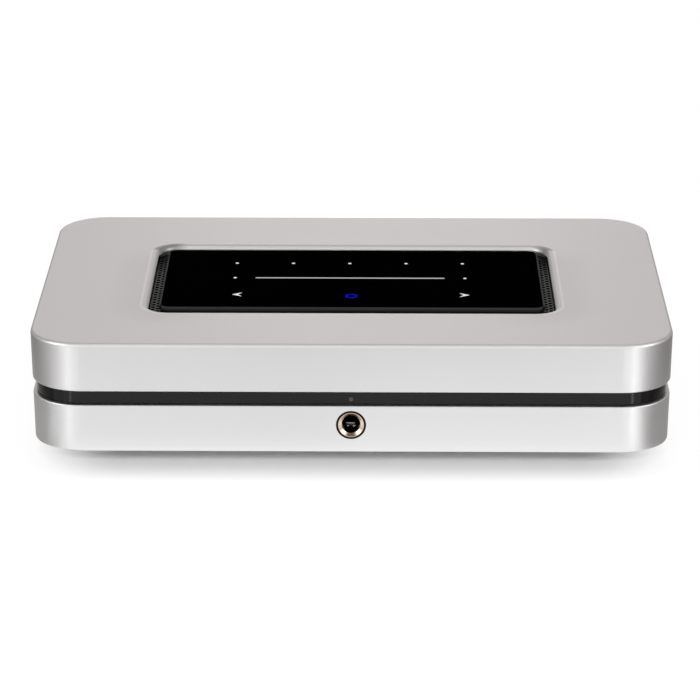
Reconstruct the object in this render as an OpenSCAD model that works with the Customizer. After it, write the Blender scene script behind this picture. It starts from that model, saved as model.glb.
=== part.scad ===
// Compact network music streamer: two drafted metal shells with a dark band between them,
// a black touch glass standing in a well in the roof, perforated vent strips beside it,
// a headphone socket at the front and a connector bay at the rear.
// Millimetres, +Z up, front towards -Y, rear towards +Y, feet standing on z = 0.

/* [Body] */
// Width over the upper shell
body_w = 220; // [210:1:260]
// Depth over the upper shell, front to rear
body_d = 146; // [140:1:190]
// Plan radius of the upright corners
corner_r = 18; // [14:0.5:22]
// Height of the lower shell
low_h = 16.7; // [16:0.1:24]
// Height of the band between the shells
band_h = 5; // [4:0.5:8]
// Height of the upper shell
up_h = 17.3; // [16:0.1:24]
// Thinnest shell wall
wall = 3; // [2.6:0.1:3.6]
// Thickness of the lower shell's floor
floor_t = 2.4; // [2:0.1:3]
// Thickness of the upper shell's roof
roof_t = 3; // [2.6:0.1:3.2]
// Draft of the outer walls in degrees, narrower downwards
draft = 1.05; // [0.2:0.05:1.6]
// Rounding of the roof's outer edge
edge_r = 1.2; // [0.6:0.1:2]
// Rounding of the rims beside the band and of the bottom edge
rim_r = 0.55; // [0.3:0.05:0.8]
// Slip clearance between pieces that fit together
fit = 0.15; // [0.1:0.05:0.25]

/* [Band] */
// How far the band's face lies behind the shells
band_recess = 1.4; // [1:0.1:2]
// Height of the shadow groove at the band's foot
groove_h = 0.5; // [0.3:0.1:0.8]
// Height of the tongues that reach into each shell
tongue_h = 4; // [2.5:0.5:6]
// Thickness of the tongues
tongue_t = 1.8; // [1.4:0.1:2.4]
// Diameter of the status window
window_d = 1.5; // [1:0.1:2]
// Height of the status window's axis above the lower rim
window_up = 2.1; // [1.6:0.1:2.4]

/* [Feet] */
// Standing height of the feet
foot_h = 5; // [3:0.5:9]
// Radius of each foot
foot_r = 9; // [6:0.5:11]
// Distance from the side to a foot's axis
foot_in_x = 28; // [24:1:40]
// Distance from the front or rear to a foot's axis
foot_in_y = 30; // [26:1:40]
// Depth of the pocket that holds each foot
foot_seat = 1; // [0.6:0.1:1.2]

/* [Touch panel] */
// Width of the glass
glass_w = 135; // [120:0.5:142]
// Depth of the glass
glass_d = 66; // [56:0.5:72]
// Corner radius of the glass
glass_r = 4; // [2:0.5:6]
// Thickness of the glass
glass_t = 1.3; // [1:0.1:1.6]
// Ground edge of the glass, seen from above
glass_edge = 0.7; // [0.3:0.05:0.9]
// Trough between the glass and the well's wall at the sides
trough_side = 3.8; // [3.6:0.1:5]
// Trough between the glass and the well's wall at front and rear
trough_end = 4.5; // [3.6:0.1:6]
// Rounding of the well's lip
lip_r = 1.9; // [1:0.1:2.2]
// Depth of the trough below the roof
trough_deep = 3.3; // [3.25:0.05:3.8]
// Corner radius of the well's wall
well_r = 7.6; // [5:0.2:9]
// Centre of the touch panel, front to rear
touch_y = -1; // [-4:0.5:4]
// Setback of the plinth's side under the glass
plinth_in = 0.4; // [0.2:0.1:0.8]
// Distance between the lights of the five presets
preset_pitch = 20.5; // [16:0.5:22]
// Distance of the presets behind the panel's centre
preset_back = 16.9; // [12:0.1:20]
// Length of the volume slide's light slot
slide_l = 68; // [50:1:74]
// Distance of the lower row of keys before the panel's centre
key_front = 19.3; // [14:0.1:22]
// Distance of the outer keys from the middle
key_side = 41; // [38:0.5:46]

/* [Vents] */
// Diameter of the vent holes
hole_d = 1.45; // [1:0.05:1.55]
// Pitch of the holes along a strip
hole_pitch = 2.75; // [2.4:0.05:4]
// Distance between the columns of holes
column_apart = 1.6; // [1.5:0.05:1.7]
// Thickness of a perforated strip
strip_t = 0.8; // [0.5:0.1:1.2]

/* [Headphone socket] */
// Height of the socket's axis above the lower shell's underside
jack_up = 9.9; // [9:0.1:10.5]
// Bore for a 6.35 mm plug
jack_bore = 6.4; // [6.4:0.05:6.6]
// Outside diameter of the bushing
jack_ring = 9.2; // [8.6:0.1:10]
// Diameter of the hole in the shell
jack_hole = 10.3; // [10.1:0.1:12]
// Width of the socket's body
jack_w = 15; // [13:0.5:18]
// Length of the socket's body
jack_l = 24; // [20:0.5:28]

/* [Connector bay] */
// Depth of the panel behind the rear face
bay_deep = 9; // [8:0.5:12]
// Thickness of the panel
panel_t = 2; // [1.5:0.1:3]
// Thickness of the bay's side walls
bay_t = 1.5; // [1.2:0.1:2]
// Width of the flange that holds the bay behind the shells
flange_w = 2.4; // [1.5:0.1:2.6]
// Plan radius of the bay's corners
bay_r = 3; // [1.8:0.2:5]
// Gap between a connector and the panel
panel_gap = 0.3; // [0.2:0.05:0.5]
// Distance of the last audio socket's block from the bay's end
row_end = 3; // [2.5:0.1:6]
// Distance of the mains inlet from the bay's other end
inlet_in = 12.2; // [8:0.1:16]

/* [Phono sockets] */
// Outside diameter of the barrels
phono_d = 8.3; // [8:0.1:8.4]
// Length of the barrels outside the panel
phono_l = 8; // [6:0.5:8]
// Height between upper and lower sockets
phono_pitch = 12; // [11.6:0.2:12.4]
// Bore of the centre contact
phono_pin = 3.3; // [3.2:0.05:3.6]
// Width of the block round one column of sockets
phono_w = 11.6; // [11:0.2:13.4]
// Depth of the block behind the panel
phono_deep = 12; // [10:0.5:15]

/* [Jacks and ports] */
// Bore of the small jacks
mini_bore = 3.6; // [3.55:0.05:3.7]
// Diameter of the small jacks' noses
mini_nose = 6; // [5.4:0.1:6.6]
// Width of a small jack's body
mini_w = 7.2; // [7:0.2:8.4]
// Width of the network socket
lan_w = 16; // [15.6:0.2:16.4]
// Height of the network socket
lan_h = 13.6; // [13:0.1:14.6]
// Length of the network socket
lan_l = 21.5; // [20:0.5:24]
// Outside width of the USB shell
usb_w = 13.2; // [13:0.1:13.6]
// Outside height of the USB shell
usb_h = 5.8; // [5.7:0.1:6.2]
// Outside width of the HDMI shell
hdmi_w = 14.6; // [14.4:0.1:15]
// Outside height of the HDMI shell
hdmi_h = 5.6; // [5.4:0.1:6]
// Sheet thickness of the port shells
sheet_t = 0.4; // [0.3:0.05:0.5]
// Length of the port shells
port_l = 14; // [12:0.5:18]
// Width of the mains inlet
inlet_w = 22.4; // [21.6:0.2:25]
// Height of the mains inlet
inlet_h = 14.4; // [13.4:0.2:16]
// Length of the mains inlet
inlet_l = 21; // [19:0.5:24]
// Distance between the mains pins
pin_pitch = 8.6; // [8.4:0.1:8.8]
// Diameter of the mains pins
pin_d = 2.4; // [2.3:0.05:2.5]

/* [Optical output] */
// Side of the square optical opening
optic_open = 6.4; // [6.2:0.1:6.6]
// Width of the optical housing
optic_w = 10; // [9.6:0.1:10.6]
// Length of the optical housing
optic_l = 17; // [15:0.5:20]
// Thickness of the shutter
shutter_t = 0.9; // [0.7:0.05:1]

/* [Boards] */
// Thickness of the circuit boards
board_t = 1.6; // [1.2:0.1:2]
// Width of the power board
power_w = 46; // [45:0.5:54]
// Gap between the two boards
board_gap = 4; // [3:0.5:6]
// Radius of the posts that carry the boards
post_r = 3; // [2.6:0.1:3.6]
// Radius of the corner posts that join the shells
boss_r = 4; // [3.8:0.1:4.4]
// Side of the processor's heat sink
sink_w = 42; // [30:1:48]
// Height of the heat sink
sink_h = 11; // [6:0.5:14]
// Width of the power transformer
coil_w = 26; // [22:0.5:28]
// Height of the power transformer
coil_h = 19; // [14:0.5:21]
// Diameter of the main capacitor
main_cap_d = 10.5; // [9:0.5:12]
// Height of the main capacitor
main_cap_h = 20; // [14:0.5:22]
// Diameter of the output capacitors
out_cap_d = 8; // [6:0.5:9]
// Height of the output capacitors
out_cap_h = 14; // [10:0.5:18]
// Height of the heat plate
heat_h = 18; // [12:0.5:20]
// Radius of the mains choke's ring
choke_r = 4.5; // [4:0.25:5]
// Radius of the choke's winding
choke_turn = 2.5; // [2:0.25:3]

/* [Hidden] */
$fn = 28;
cut = 1;
// Overlap of forms that run into each other, and the small fits
weld = 0.5;
slip = 0.05;
hole_gap = 0.3;
// Outer faces: their lean, and their heights
lean = tan(draft);
half_w = body_w / 2;
half_d = body_d / 2;
base_z = foot_h;
low_top = base_z + low_h;
up_bot = low_top + band_h;
top_z = up_bot + up_h;
mid_z = (low_top + up_bot) / 2;
floor_z = base_z + floor_t;
roof_z = top_z - roof_t;
// Inward lean of the outer face at a height, and its distance from a corner's axis
function inset(z) = (top_z - z) * lean;
function face_r(z) = corner_r - inset(z);
cav_in = wall + inset(base_z);
face_in = inset(mid_z) + band_recess;
tongue_in = cav_in + fit;
ring_in = tongue_in + tongue_t;
groove_in = (face_in + tongue_in) / 2;
// Corner posts: on the corner's diagonal, clear of the band's ring
ring_gap = 0.6;
boss_off = (corner_r - ring_in - boss_r - ring_gap) / sqrt(2);
boss_x = half_w - corner_r + boss_off;
boss_y = half_d - corner_r + boss_off;
// Case screws: metal under the head, and thread in the upper post
screw_r = 1.5;
screw_gap = 0.2;
screw_head_r = 2.8;
screw_head_h = 2.2;
screw_grip = 7;
screw_bite = 7;
seat_z = mid_z - screw_grip;
// Air slots in the floor, on each side of the middle one
air_n = 4;
air_pitch = 7;
air_l = 32;
air_w = 2.6;
// Feet
foot_gap = 0.1;
foot_taper = 0.8;
foot_round = 0.6;
foot_rim = 0.2;
// Status window
window_lip = 0.6;
window_t = 0.8;
window_z = low_top + window_up;
// Connector bay and panel
bay_side = 1.2;
bay_gap = 0.6;
bay_back = 1;
flange_t = 1.8;
bay_hw = boss_x - boss_r - flange_w - bay_side;
bay_hh = min(mid_z - floor_z, roof_z - mid_z) - flange_w - bay_gap;
pan_out = half_d - bay_deep;
pan_in = pan_out - panel_t;
bay_end = half_d - inset(base_z) - bay_back;
flange_y = half_d - cav_in - fit;
// Headphone socket: its seat, and the bushing's dished face with the lip left around it
jack_z = base_z + jack_up;
jack_face = inset(jack_z) - half_d;
jack_y0 = cav_in + fit - half_d;
jack_y1 = jack_y0 + jack_l;
jack_gap = 0.5;
jack_seat = 4;
jack_dish = 0.8;
jack_lip = 0.4;
jack_drop = 6.4;
jack_end = 2;
bore_gap = 0.2;
// Leaf springs beside the bore, in slots in the socket's sides
leaf_t = 1;
leaf_h = 2.8;
leaf_wall = 1.4;
leaf_front = 4;
leaf_rear = 3;
leaf_gap = 0.3;
leaf_x = jack_w / 2 - leaf_wall - leaf_t / 2;
leaf_y0 = jack_y0 + jack_seat + leaf_front;
leaf_y1 = jack_y1 - leaf_rear;
leaf_slot = leaf_h / 2 + leaf_gap;
bend_r = 1;
bend_back = 9;
bend_y = jack_y0 + jack_seat + bend_back;
bend_apart = 2;
bend_gap = 0.1;
// Front board with the status light
led_w = 2.8;
led_d = 1.6;
led_h = 1.4;
front_gap = 1.2;
front_wing = 20;
front_post_in = 4;
front_bite = 6;
front_top = window_z - led_h / 2;
front_bot = front_top - board_t;
front_y0 = ring_in + front_gap - half_d;
front_short = 2;
front_y1 = jack_y1 - front_short;
front_hw = jack_w / 2 + front_wing;
// Boards, their posts and their screws
board_lift = 0.65;
board_edge = 1.1;
boss_gap = 1.5;
board_side = boss_x - boss_r - boss_gap;
board_top = mid_z - bay_hh + fit + bay_t + board_lift;
board_bot = board_top - board_t;
jack_room = 7;
board_front = jack_y1 + jack_room;
board_rear = pan_in - panel_gap;
psu_l = -board_side;
psu_r = psu_l + power_w;
psu_x = (psu_l + psu_r) / 2;
main_l = psu_r + board_gap;
main_r = board_side;
main_x = (main_l + main_r) / 2;
split_x = (psu_r + main_l) / 2;
post_hole = 1.3;
post_in = 5;
post_rear = 30;
post_y = [board_front + post_in, board_rear - post_rear];
post_mid = (post_y[0] + post_y[1]) / 2;
screw_small = 1.25;
screw_short = 0.6;
pan_head_r = 2.6;
pan_head_h = 1.6;
panel_bite = 6;
panel_head_r = 2.4;
panel_head_h = 1.5;
head_weld = 0.2;
head_key = 0.6;
film_t = 0.4;
// Touch panel
glass_z = top_z - glass_t;
trough_z = top_z - trough_deep;
well_w = glass_w + 2 * trough_side;
well_d = glass_d + 2 * trough_end;
carrier_t = 2;
carrier_bot = trough_z - carrier_t;
carrier_rim = 8;
carrier_r = well_r + carrier_rim / 2;
carrier_w = well_w + 2 * carrier_rim;
carrier_d = well_d + 2 * carrier_rim;
tray_over = 1.5;
plinth_w = glass_w - 2 * plinth_in;
plinth_d = glass_d - 2 * plinth_in;
plinth_r = glass_r - plinth_in;
plinth_wall = 1.5;
web_t = 1;
web_z = glass_z - web_t;
// Light wells under the marks of the glass
dot_r = 1.1;
key_r = 1.8;
slide_w = 1.8;
// Sensor board, held on stakes of the carrier
sensor_t = 1.2;
sensor_gap = 0.3;
sensor_w = plinth_w - 2 * (plinth_wall + sensor_gap);
sensor_d = plinth_d - 2 * (plinth_wall + sensor_gap);
sensor_r = max(plinth_r - plinth_wall, weld);
sensor_bot = web_z - sensor_t;
stake_r = 1;
stake_in = 4;
stake_head = 0.8;
stake_root = 0.4;
// Screw ears of the carrier, blind under the top face
ear_out = 0.2;
ear_skin = 1.6;
ear_r = 2.4;
ear_screw_r = 1;
ear_head_r = 3.8;
ear_head_h = 1.2;
ear_x = well_w / 2 + carrier_rim / 2 + ear_out;
ear_y = well_d / 2 + carrier_rim / 2 + ear_out;
ear_top = top_z - ear_skin;
// Vent strips, let into the trough beside the glass
strip_gap = 0.1;
strip_edge = 0.75;
strip_over = 3;
strip_seat = 0.55;
strip_hold = 1.5;
strip_w = 2 * column_apart + hole_d + strip_edge;
strip_l = glass_d + strip_over;
strip_x = plinth_w / 2 + strip_gap + strip_w / 2;
hole_rows = floor((glass_d - strip_over) / hole_pitch);
// Sockets in a row along the panel, evenly spread from the main board's edge to the bay's end
socket_w = [lan_w, usb_w, hdmi_w, mini_w, mini_w, mini_w, optic_w, phono_w, phono_w];
function width_of(n) = n == 0 ? 0 : socket_w[n - 1] + width_of(n - 1);
row_l = main_l + board_edge;
row_w = bay_hw - row_end - row_l;
socket_space = (row_w - width_of(len(socket_w))) / (len(socket_w) - 1);
function socket_x(n) = row_l + width_of(n) + socket_w[n] / 2 + n * socket_space;
lan_x = socket_x(0);
usb_x = socket_x(1);
hdmi_x = socket_x(2);
mini_x = [socket_x(5), socket_x(4), socket_x(3)];
optic_x = socket_x(6);
digital_x = socket_x(7);
line_x = socket_x(8);
inlet_x = inlet_in + inlet_w / 2 - bay_hw;
// Joints between the rear plates, half way between their sockets
split_mains = (inlet_x + inlet_w / 2 + lan_x - lan_w / 2) / 2;
split_audio = (hdmi_x + hdmi_w / 2 + min(mini_x) - mini_nose / 2) / 2;
// Phono sockets: barrels with a step behind the panel, inserts and centre contacts
phono_x = (line_x + digital_x) / 2;
phono_r = phono_d / 2;
phono_t = 0.7;
phono_step = 0.25;
phono_head = 5.6;
phono_z = [mid_z + phono_pitch / 2, mid_z - phono_pitch / 2];
phono_top = phono_z[0] + phono_head;
phono_end = pan_out + phono_l;
insert_in = 0.6;
contact_t = 0.5;
contact_in = 0.9;
// Small jacks, ports and mains inlet: how far each stands out of the panel
nose_out = 0.6;
port_out = 0.5;
lan_out = 0.8;
mini_up = 4.2;
mini_z = board_top + mini_up;
mini_h = 7.6;
mini_l = 13;
mini_end_t = 1.5;
mini_end = pan_out + nose_out;
port_end = pan_out + port_out;
port_lift = 0.2;
port_back = 3;
port_r = 0.6;
tab_w = 0.4;
tab_l = 2;
tab_back = 4;
usb_z = board_top + usb_h / 2 + port_lift;
hdmi_z = board_top + hdmi_h / 2 + port_lift;
usb_tab_in = 1.4;
usb_blade = [10.8, 1.8];
usb_blade_up = 0.4;
usb_in = 1.6;
hdmi_tab_in = 2.4;
hdmi_slope = 1.6;
hdmi_rise = 2.2;
hdmi_blade = [11.4, 1.6];
hdmi_in = 1.2;
// Network socket: plug space with its two steps for the latch, lights and contacts
lan_end = pan_out + lan_out;
lan_z = board_top + lan_h / 2;
lan_deep = 13;
lan_up = 0.3;
plug_space = [11.8, 7.6];
latch_space = [6.2, 3, -5.2];
latch_slot = [3.2, 3, -6.2];
lan_light = [3.2, 1.7];
lan_light_x = 5.2;
lan_light_z = 5.45;
lan_light_deep = 3;
lan_light_in = 0.2;
wire_pitch = 1.02;
wire_w = 0.4;
wire_t = 0.5;
wire_in = 2;
wire_drop = 1;
// Mains inlet: figure-of-eight recess with a waist, and two round-ended pins
inlet_z = board_top + inlet_h / 2;
inlet_end = pan_out + nose_out;
inlet_deep = 11;
inlet_r = 2;
recess_w = 9;
waist_w = 2;
waist_h = 3.7;
pin_root = 2;
pin_in = 2.5;
// Optical housing: mouth, chamber and hinge, measured inwards from its face
optic_out = 1.2;
optic_up = 5.2;
optic_end = pan_out + optic_out;
optic_z = board_top + optic_up;
mouth_t = 1;
swing = 0.3;
hinge_over = 0.95;
hinge_in = mouth_t + swing + shutter_t / 2;
hinge_up = optic_open / 2 + hinge_over;
hinge_y = optic_end - hinge_in;
hinge_z = optic_z + hinge_up;
shutter_lap = 0.35;
shutter_w = optic_open + shutter_lap;
shutter_drop = hinge_up + optic_open / 2 - swing;
pivot_r = 0.5;
pivot_gap = 0.08;
pivot_l = 0.6;
chamber_w = shutter_w + 2 * swing;
chamber_top = hinge_up + hinge_over;
chamber_deep = hinge_in + shutter_drop + 2 * swing;
optic_top = optic_z + chamber_top + mouth_t;
emitter_r = 2.2;
emitter_end = 1.5;
// Flat cables and their plugs
ffc_t = 0.3;
ffc_w = 12;
ffc_r = 3;
ffc_tail = 2.5;
plug_h = 2;
plug_d = 4;
plug_side = 1;
touch_plug_in = 34;
touch_plug_fore = 13.2;
touch_plug_x = min(main_r - touch_plug_in, sensor_w / 2 - ffc_w);
touch_plug_y = touch_y - touch_plug_fore;
front_ffc_w = 8;
front_plug_w = 11;
front_plug_out = 6.5;
front_plug_in = 9;
front_plug_x = jack_w / 2 + front_plug_out;
front_plug_y = front_y1 - front_plug_in;
front_fold = 2;
main_plug_in = 1;
// Processor with its heat sink
chip_w = 18;
chip_t = 1.5;
chip_left = 6;
chip_back = 4;
chip_x = main_x - chip_left;
chip_y = post_mid + chip_back;
sink_base = 2.5;
fin_t = 1.4;
fin_n = 8;
// Wireless module with two aerial plugs, and the strip aerials inside the band
radio_w = 18;
radio_d = 14;
radio_h = 2.6;
radio_in = 16;
radio_x = main_r - radio_in;
radio_y = post_y[0] + radio_in;
radio_plug = [5, -4];
radio_plug_r = 1.3;
radio_plug_h = 1;
radio_plug_z = board_top + radio_h + radio_plug_h;
aerial_t = 0.8;
aerial_l = 32;
aerial_h = 6;
aerial_back = 6;
aerial_left = 10;
aerial_y = radio_y + aerial_back;
aerial_x = radio_x - aerial_left;
lead_r = 0.6;
lead_joint = 0.09;
lead_side = 4;
// Audio capacitors behind the phono sockets
can_r = 3;
can_h = 9;
can_apart = 8.4;
can_back = 8;
can_gap = 0.6;
can_x = main_r - post_in - pan_head_r - can_gap - can_r;
// Power supply: transformer, choke, heat plate and the harness to the main board
harness_h = 6;
harness_in = 3;
harness_w = 5;
harness_l = 14;
harness_back = 22;
harness_y = board_front + harness_back;
harness_span = board_gap / 2 + harness_in;
wire_r = 0.8;
wire_apart = 3;
coil_left = 4;
coil_back = 13;
coil_x = psu_x - coil_left;
coil_y = post_y[0] + coil_w / 2 + coil_back;
coil_foot = 3;
coil_cut = 1;
core_in = 6;
choke_y = (coil_y + coil_w / 2 - coil_cut + pan_in - inlet_l) / 2;
psu_gap = 0.4;
psu_margin = post_in + pan_head_r + psu_gap;
out_cap_in = 8;
out_cap_gap = 1;
heat_t = 2.2;
heat_l = 19;
heat_top = 6.2;
heat_in = 1.8;
heat_back = 1;
heat_y = coil_y + heat_back;

// A profile (distance from a corner's axis, height) carried round a rounded rectangle
module carry(w, d, r) {
    cx = w / 2 - r;
    cy = d / 2 - r;
    for (k = [[cx, cy, 0], [-cx, cy, 90], [-cx, -cy, 180], [cx, -cy, 270]])
        translate([k[0], k[1], 0]) rotate([0, 0, k[2]]) rotate_extrude(angle = 90) children();
    for (s = [[cx, cy, 0], [cy, cx, 90], [cx, cy, 180], [cy, cx, 270]])
        rotate([0, 0, s[2]]) translate([s[0], s[1], 0]) rotate([90, 0, 0])
            linear_extrude(2 * s[1]) children();
}

// The same, filled in the middle between two heights
module block(w, d, r, z0, z1) {
    carry(w, d, r) children();
    translate([r - w / 2, r - d / 2, z0]) cube([w - 2 * r, d - 2 * r, z1 - z0]);
}

// What a rounding takes off a convex corner c between the directions a and b
module nip(c, a, b, r) {
    u = a / norm(a);
    v = b / norm(b);
    h = acos(u * v) / 2;
    m = (u + v) / norm(u + v);
    difference() {
        polygon([c - m * r / 4, c + u * r / tan(h), c + m * r / sin(h), c + v * r / tan(h)]);
        translate(c + m * r / sin(h)) circle(r);
    }
}

module round_rect(w, d, r) {
    square([w - 2 * r, d], center = true);
    square([w, d - 2 * r], center = true);
    for (x = [-1, 1], y = [-1, 1]) translate([x * (w / 2 - r), y * (d / 2 - r)]) circle(r);
}

module slot(l, w) {
    square([l - w, w], center = true);
    for (s = [-1, 1]) translate([s * (l - w) / 2, 0]) circle(d = w);
}

// A flat outline raised from z0 to z1, and one in (x, z) drawn out from y0 to y1
module rise(z0, z1) translate([0, 0, z0]) linear_extrude(z1 - z0) children();
module along_y(y0, y1) translate([0, y1, 0]) rotate([90, 0, 0]) linear_extrude(y1 - y0) children();
module box(x0, x1, y0, y1, z0, z1) translate([x0, y0, z0]) cube([x1 - x0, y1 - y0, z1 - z0]);
module rod_y(x, z, r, y0, y1)
    translate([x, y1, z]) rotate([90, 0, 0]) cylinder(r = r, h = y1 - y0);
module rod_z(x, y, r, z0, z1) translate([x, y, z0]) cylinder(r = r, h = z1 - z0);
module tube_y(x, z, r1, r0, y0, y1) along_y(y0, y1) translate([x, z]) difference() {
    circle(r1);
    circle(r0);
}

module at_corners(x, y) for (i = [-1, 1], j = [-1, 1]) translate([i * x, j * y, 0]) children();

// Places of the board posts, the front board's posts and the carrier's screws
module at_posts() for (x = [main_l + post_in, main_r - post_in, psu_l + post_in, psu_r - post_in],
    y = post_y) translate([x, y, 0]) children();
module at_front_posts() for (s = [-1, 1])
    translate([s * (front_hw - front_post_in), front_y1 - front_post_in, 0]) children();
module at_ears() translate([0, touch_y, 0]) {
    at_corners(ear_x, ear_y) children();
    for (j = [-1, 1]) translate([0, j * ear_y, 0]) children();
}

// Outline of the bay, grown by g, in (x, z)
module bay_outline(g) translate([0, mid_z]) round_rect(2 * (bay_hw + g), 2 * (bay_hh + g), bay_r + g);

module top_shell() color([0.80, 0.79, 0.785]) difference() {
    union() {
        difference() {
            block(body_w, body_d, corner_r, up_bot, top_z) difference() {
                polygon([[0, up_bot], [face_r(up_bot), up_bot], [corner_r, top_z], [0, top_z]]);
                nip([corner_r, top_z], [-1, 0], [-lean, -1], edge_r);
                nip([face_r(up_bot), up_bot], [-1, 0], [lean, 1], rim_r);
            }
            rise(up_bot - cut, roof_z)
                round_rect(body_w - 2 * cav_in, body_d - 2 * cav_in, corner_r - cav_in);
        }
        at_corners(boss_x, boss_y) rod_z(0, 0, boss_r, mid_z, roof_z + weld);
        at_ears() rod_z(0, 0, ear_r, carrier_bot, roof_z + weld);
    }
    translate([0, touch_y, 0]) block(well_w, well_d, well_r, roof_z - cut, top_z + cut) {
        union() {
            translate([0, roof_z - cut]) square([well_r, roof_t + 2 * cut]);
            difference() {
                translate([well_r - weld, top_z - lip_r]) square([lip_r + weld, lip_r + cut]);
                translate([well_r + lip_r, top_z - lip_r]) circle(lip_r);
            }
        }
    }
    along_y(half_d - cav_in - cut, half_d + cut) bay_outline(0);
    at_corners(boss_x, boss_y) rod_z(0, 0, screw_r + slip, mid_z - cut, mid_z + screw_bite + cut);
    at_ears() rod_z(0, 0, ear_screw_r + slip, carrier_bot - cut, ear_top);
}

module bottom_shell() color([0.82, 0.81, 0.805]) difference() {
    union() {
        difference() {
            block(body_w, body_d, corner_r, base_z, low_top) difference() {
                polygon([[0, base_z], [face_r(base_z), base_z], [face_r(low_top), low_top],
                    [0, low_top]]);
                nip([face_r(low_top), low_top], [-1, 0], [-lean, -1], rim_r);
                nip([face_r(base_z), base_z], [-1, 0], [lean, 1], rim_r);
            }
            rise(floor_z, low_top + cut)
                round_rect(body_w - 2 * cav_in, body_d - 2 * cav_in, corner_r - cav_in);
        }
        at_corners(boss_x, boss_y) rod_z(0, 0, boss_r, floor_z - weld, mid_z);
        at_posts() rod_z(0, 0, post_r, floor_z - weld, board_bot);
        at_front_posts() rod_z(0, 0, post_r, floor_z - weld, front_bot);
    }
    along_y(half_d - cav_in - cut, half_d + cut) bay_outline(0);
    rod_y(0, jack_z, jack_hole / 2, -half_d - cut, cav_in + cut - half_d);
    at_corners(boss_x, boss_y) {
        rod_z(0, 0, screw_head_r + hole_gap, base_z - cut, seat_z);
        rod_z(0, 0, screw_r + screw_gap, seat_z - cut, mid_z + cut);
    }
    at_posts() rod_z(0, 0, post_hole, floor_z, board_bot + cut);
    at_front_posts() rod_z(0, 0, post_hole, front_bot - front_bite - 2 * cut, front_bot + cut);
    at_corners(half_w - foot_in_x, half_d - foot_in_y)
        rod_z(0, 0, foot_r + foot_gap, base_z - cut, base_z + foot_seat);
    rise(base_z - cut, floor_z + cut) for (i = [-air_n : air_n])
        translate([main_x + i * air_pitch, post_mid]) rotate(90) slot(air_l, air_w);
}

module mid_frame() color([0.17, 0.165, 0.17]) difference() {
    carry(body_w, body_d, corner_r) polygon([
        [corner_r - ring_in, low_top - tongue_h], [corner_r - tongue_in, low_top - tongue_h],
        [corner_r - tongue_in, low_top], [corner_r - groove_in, low_top],
        [corner_r - groove_in, low_top + groove_h], [corner_r - face_in, low_top + groove_h],
        [corner_r - face_in, up_bot], [corner_r - tongue_in, up_bot],
        [corner_r - tongue_in, up_bot + tongue_h], [corner_r - ring_in, up_bot + tongue_h]]);
    along_y(half_d - ring_in - cut, half_d + cut) bay_outline(0);
    along_y(half_d - ring_in - cut, flange_y + fit) bay_outline(flange_w + fit);
    box(-jack_w / 2 - jack_gap, jack_w / 2 + jack_gap, -half_d, ring_in + cut - half_d,
        low_top - tongue_h - cut, low_top);
    rod_y(0, window_z, window_d / 2 + slip, -half_d, ring_in + cut - half_d);
}

module status_window() color([0.42, 0.42, 0.44]) {
    rod_y(0, window_z, window_d / 2, face_in - half_d, ring_in + window_t / 2 - half_d);
    rod_y(0, window_z, window_d / 2 + window_lip, ring_in - half_d,
        ring_in + window_t - half_d);
}

module touch_glass() color([0.01, 0.01, 0.012]) translate([0, touch_y, 0])
    block(glass_w, glass_d, glass_r, glass_z, top_z)
        polygon([[0, glass_z], [glass_r, glass_z], [glass_r, top_z - glass_edge],
            [glass_r - glass_edge, top_z], [0, top_z]]);

module touch_carrier() color([0.03, 0.03, 0.032]) translate([0, touch_y, 0]) {
    carrier_tray();
    at_corners(sensor_w / 2 - stake_in, sensor_d / 2 - stake_in)
        rod_z(0, 0, stake_r, sensor_bot - stake_head, web_z + stake_root);
}
// Plinth, trough floor and rim in one moulding, hollow under the glass
module carrier_tray() difference() {
    union() {
        difference() {
            rise(carrier_bot, roof_z) round_rect(carrier_w, carrier_d, carrier_r);
            rise(trough_z, roof_z + cut)
                round_rect(well_w + 2 * tray_over, well_d + 2 * tray_over, well_r + tray_over);
        }
        rise(trough_z - weld, glass_z) round_rect(plinth_w, plinth_d, plinth_r);
    }
    rise(carrier_bot - cut, web_z) round_rect(plinth_w - 2 * plinth_wall,
        plinth_d - 2 * plinth_wall, sensor_r);
    for (s = [-1, 1]) translate([s * strip_x, 0, 0]) {
        rise(trough_z - strip_t, roof_z + cut)
            square([strip_w + 2 * slip, strip_l + 2 * slip], center = true);
        rise(carrier_bot - cut, trough_z)
            square([strip_w - 2 * strip_seat, strip_l - 2 * strip_hold], center = true);
    }
    rise(web_z - cut, glass_z + cut) {
        for (i = [-2 : 2]) translate([i * preset_pitch, preset_back]) circle(dot_r);
        slot(slide_l, slide_w);
        for (s = [-1, 1]) {
            translate([s * key_side, -key_front]) circle(key_r);
            translate([s * key_side, 0]) circle(dot_r);
        }
        translate([0, -key_front]) circle(key_r);
    }
    translate([0, -touch_y, 0]) at_ears() rod_z(0, 0, ear_r + fit, carrier_bot - cut, roof_z + cut);
}

// Sensor board under the glass, held on the carrier's four stakes, with its cable plug
module touch_board() color([0.05, 0.24, 0.14]) {
    translate([0, touch_y, 0]) rise(sensor_bot, web_z) difference() {
        round_rect(sensor_w, sensor_d, sensor_r);
        at_corners(sensor_w / 2 - stake_in, sensor_d / 2 - stake_in) circle(stake_r + slip);
    }
    translate([touch_plug_x, touch_plug_y + plug_d / 2, sensor_bot - plug_h / 2])
        cube([ffc_w + 2 * plug_side, plug_d, plug_h], center = true);
}

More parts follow.
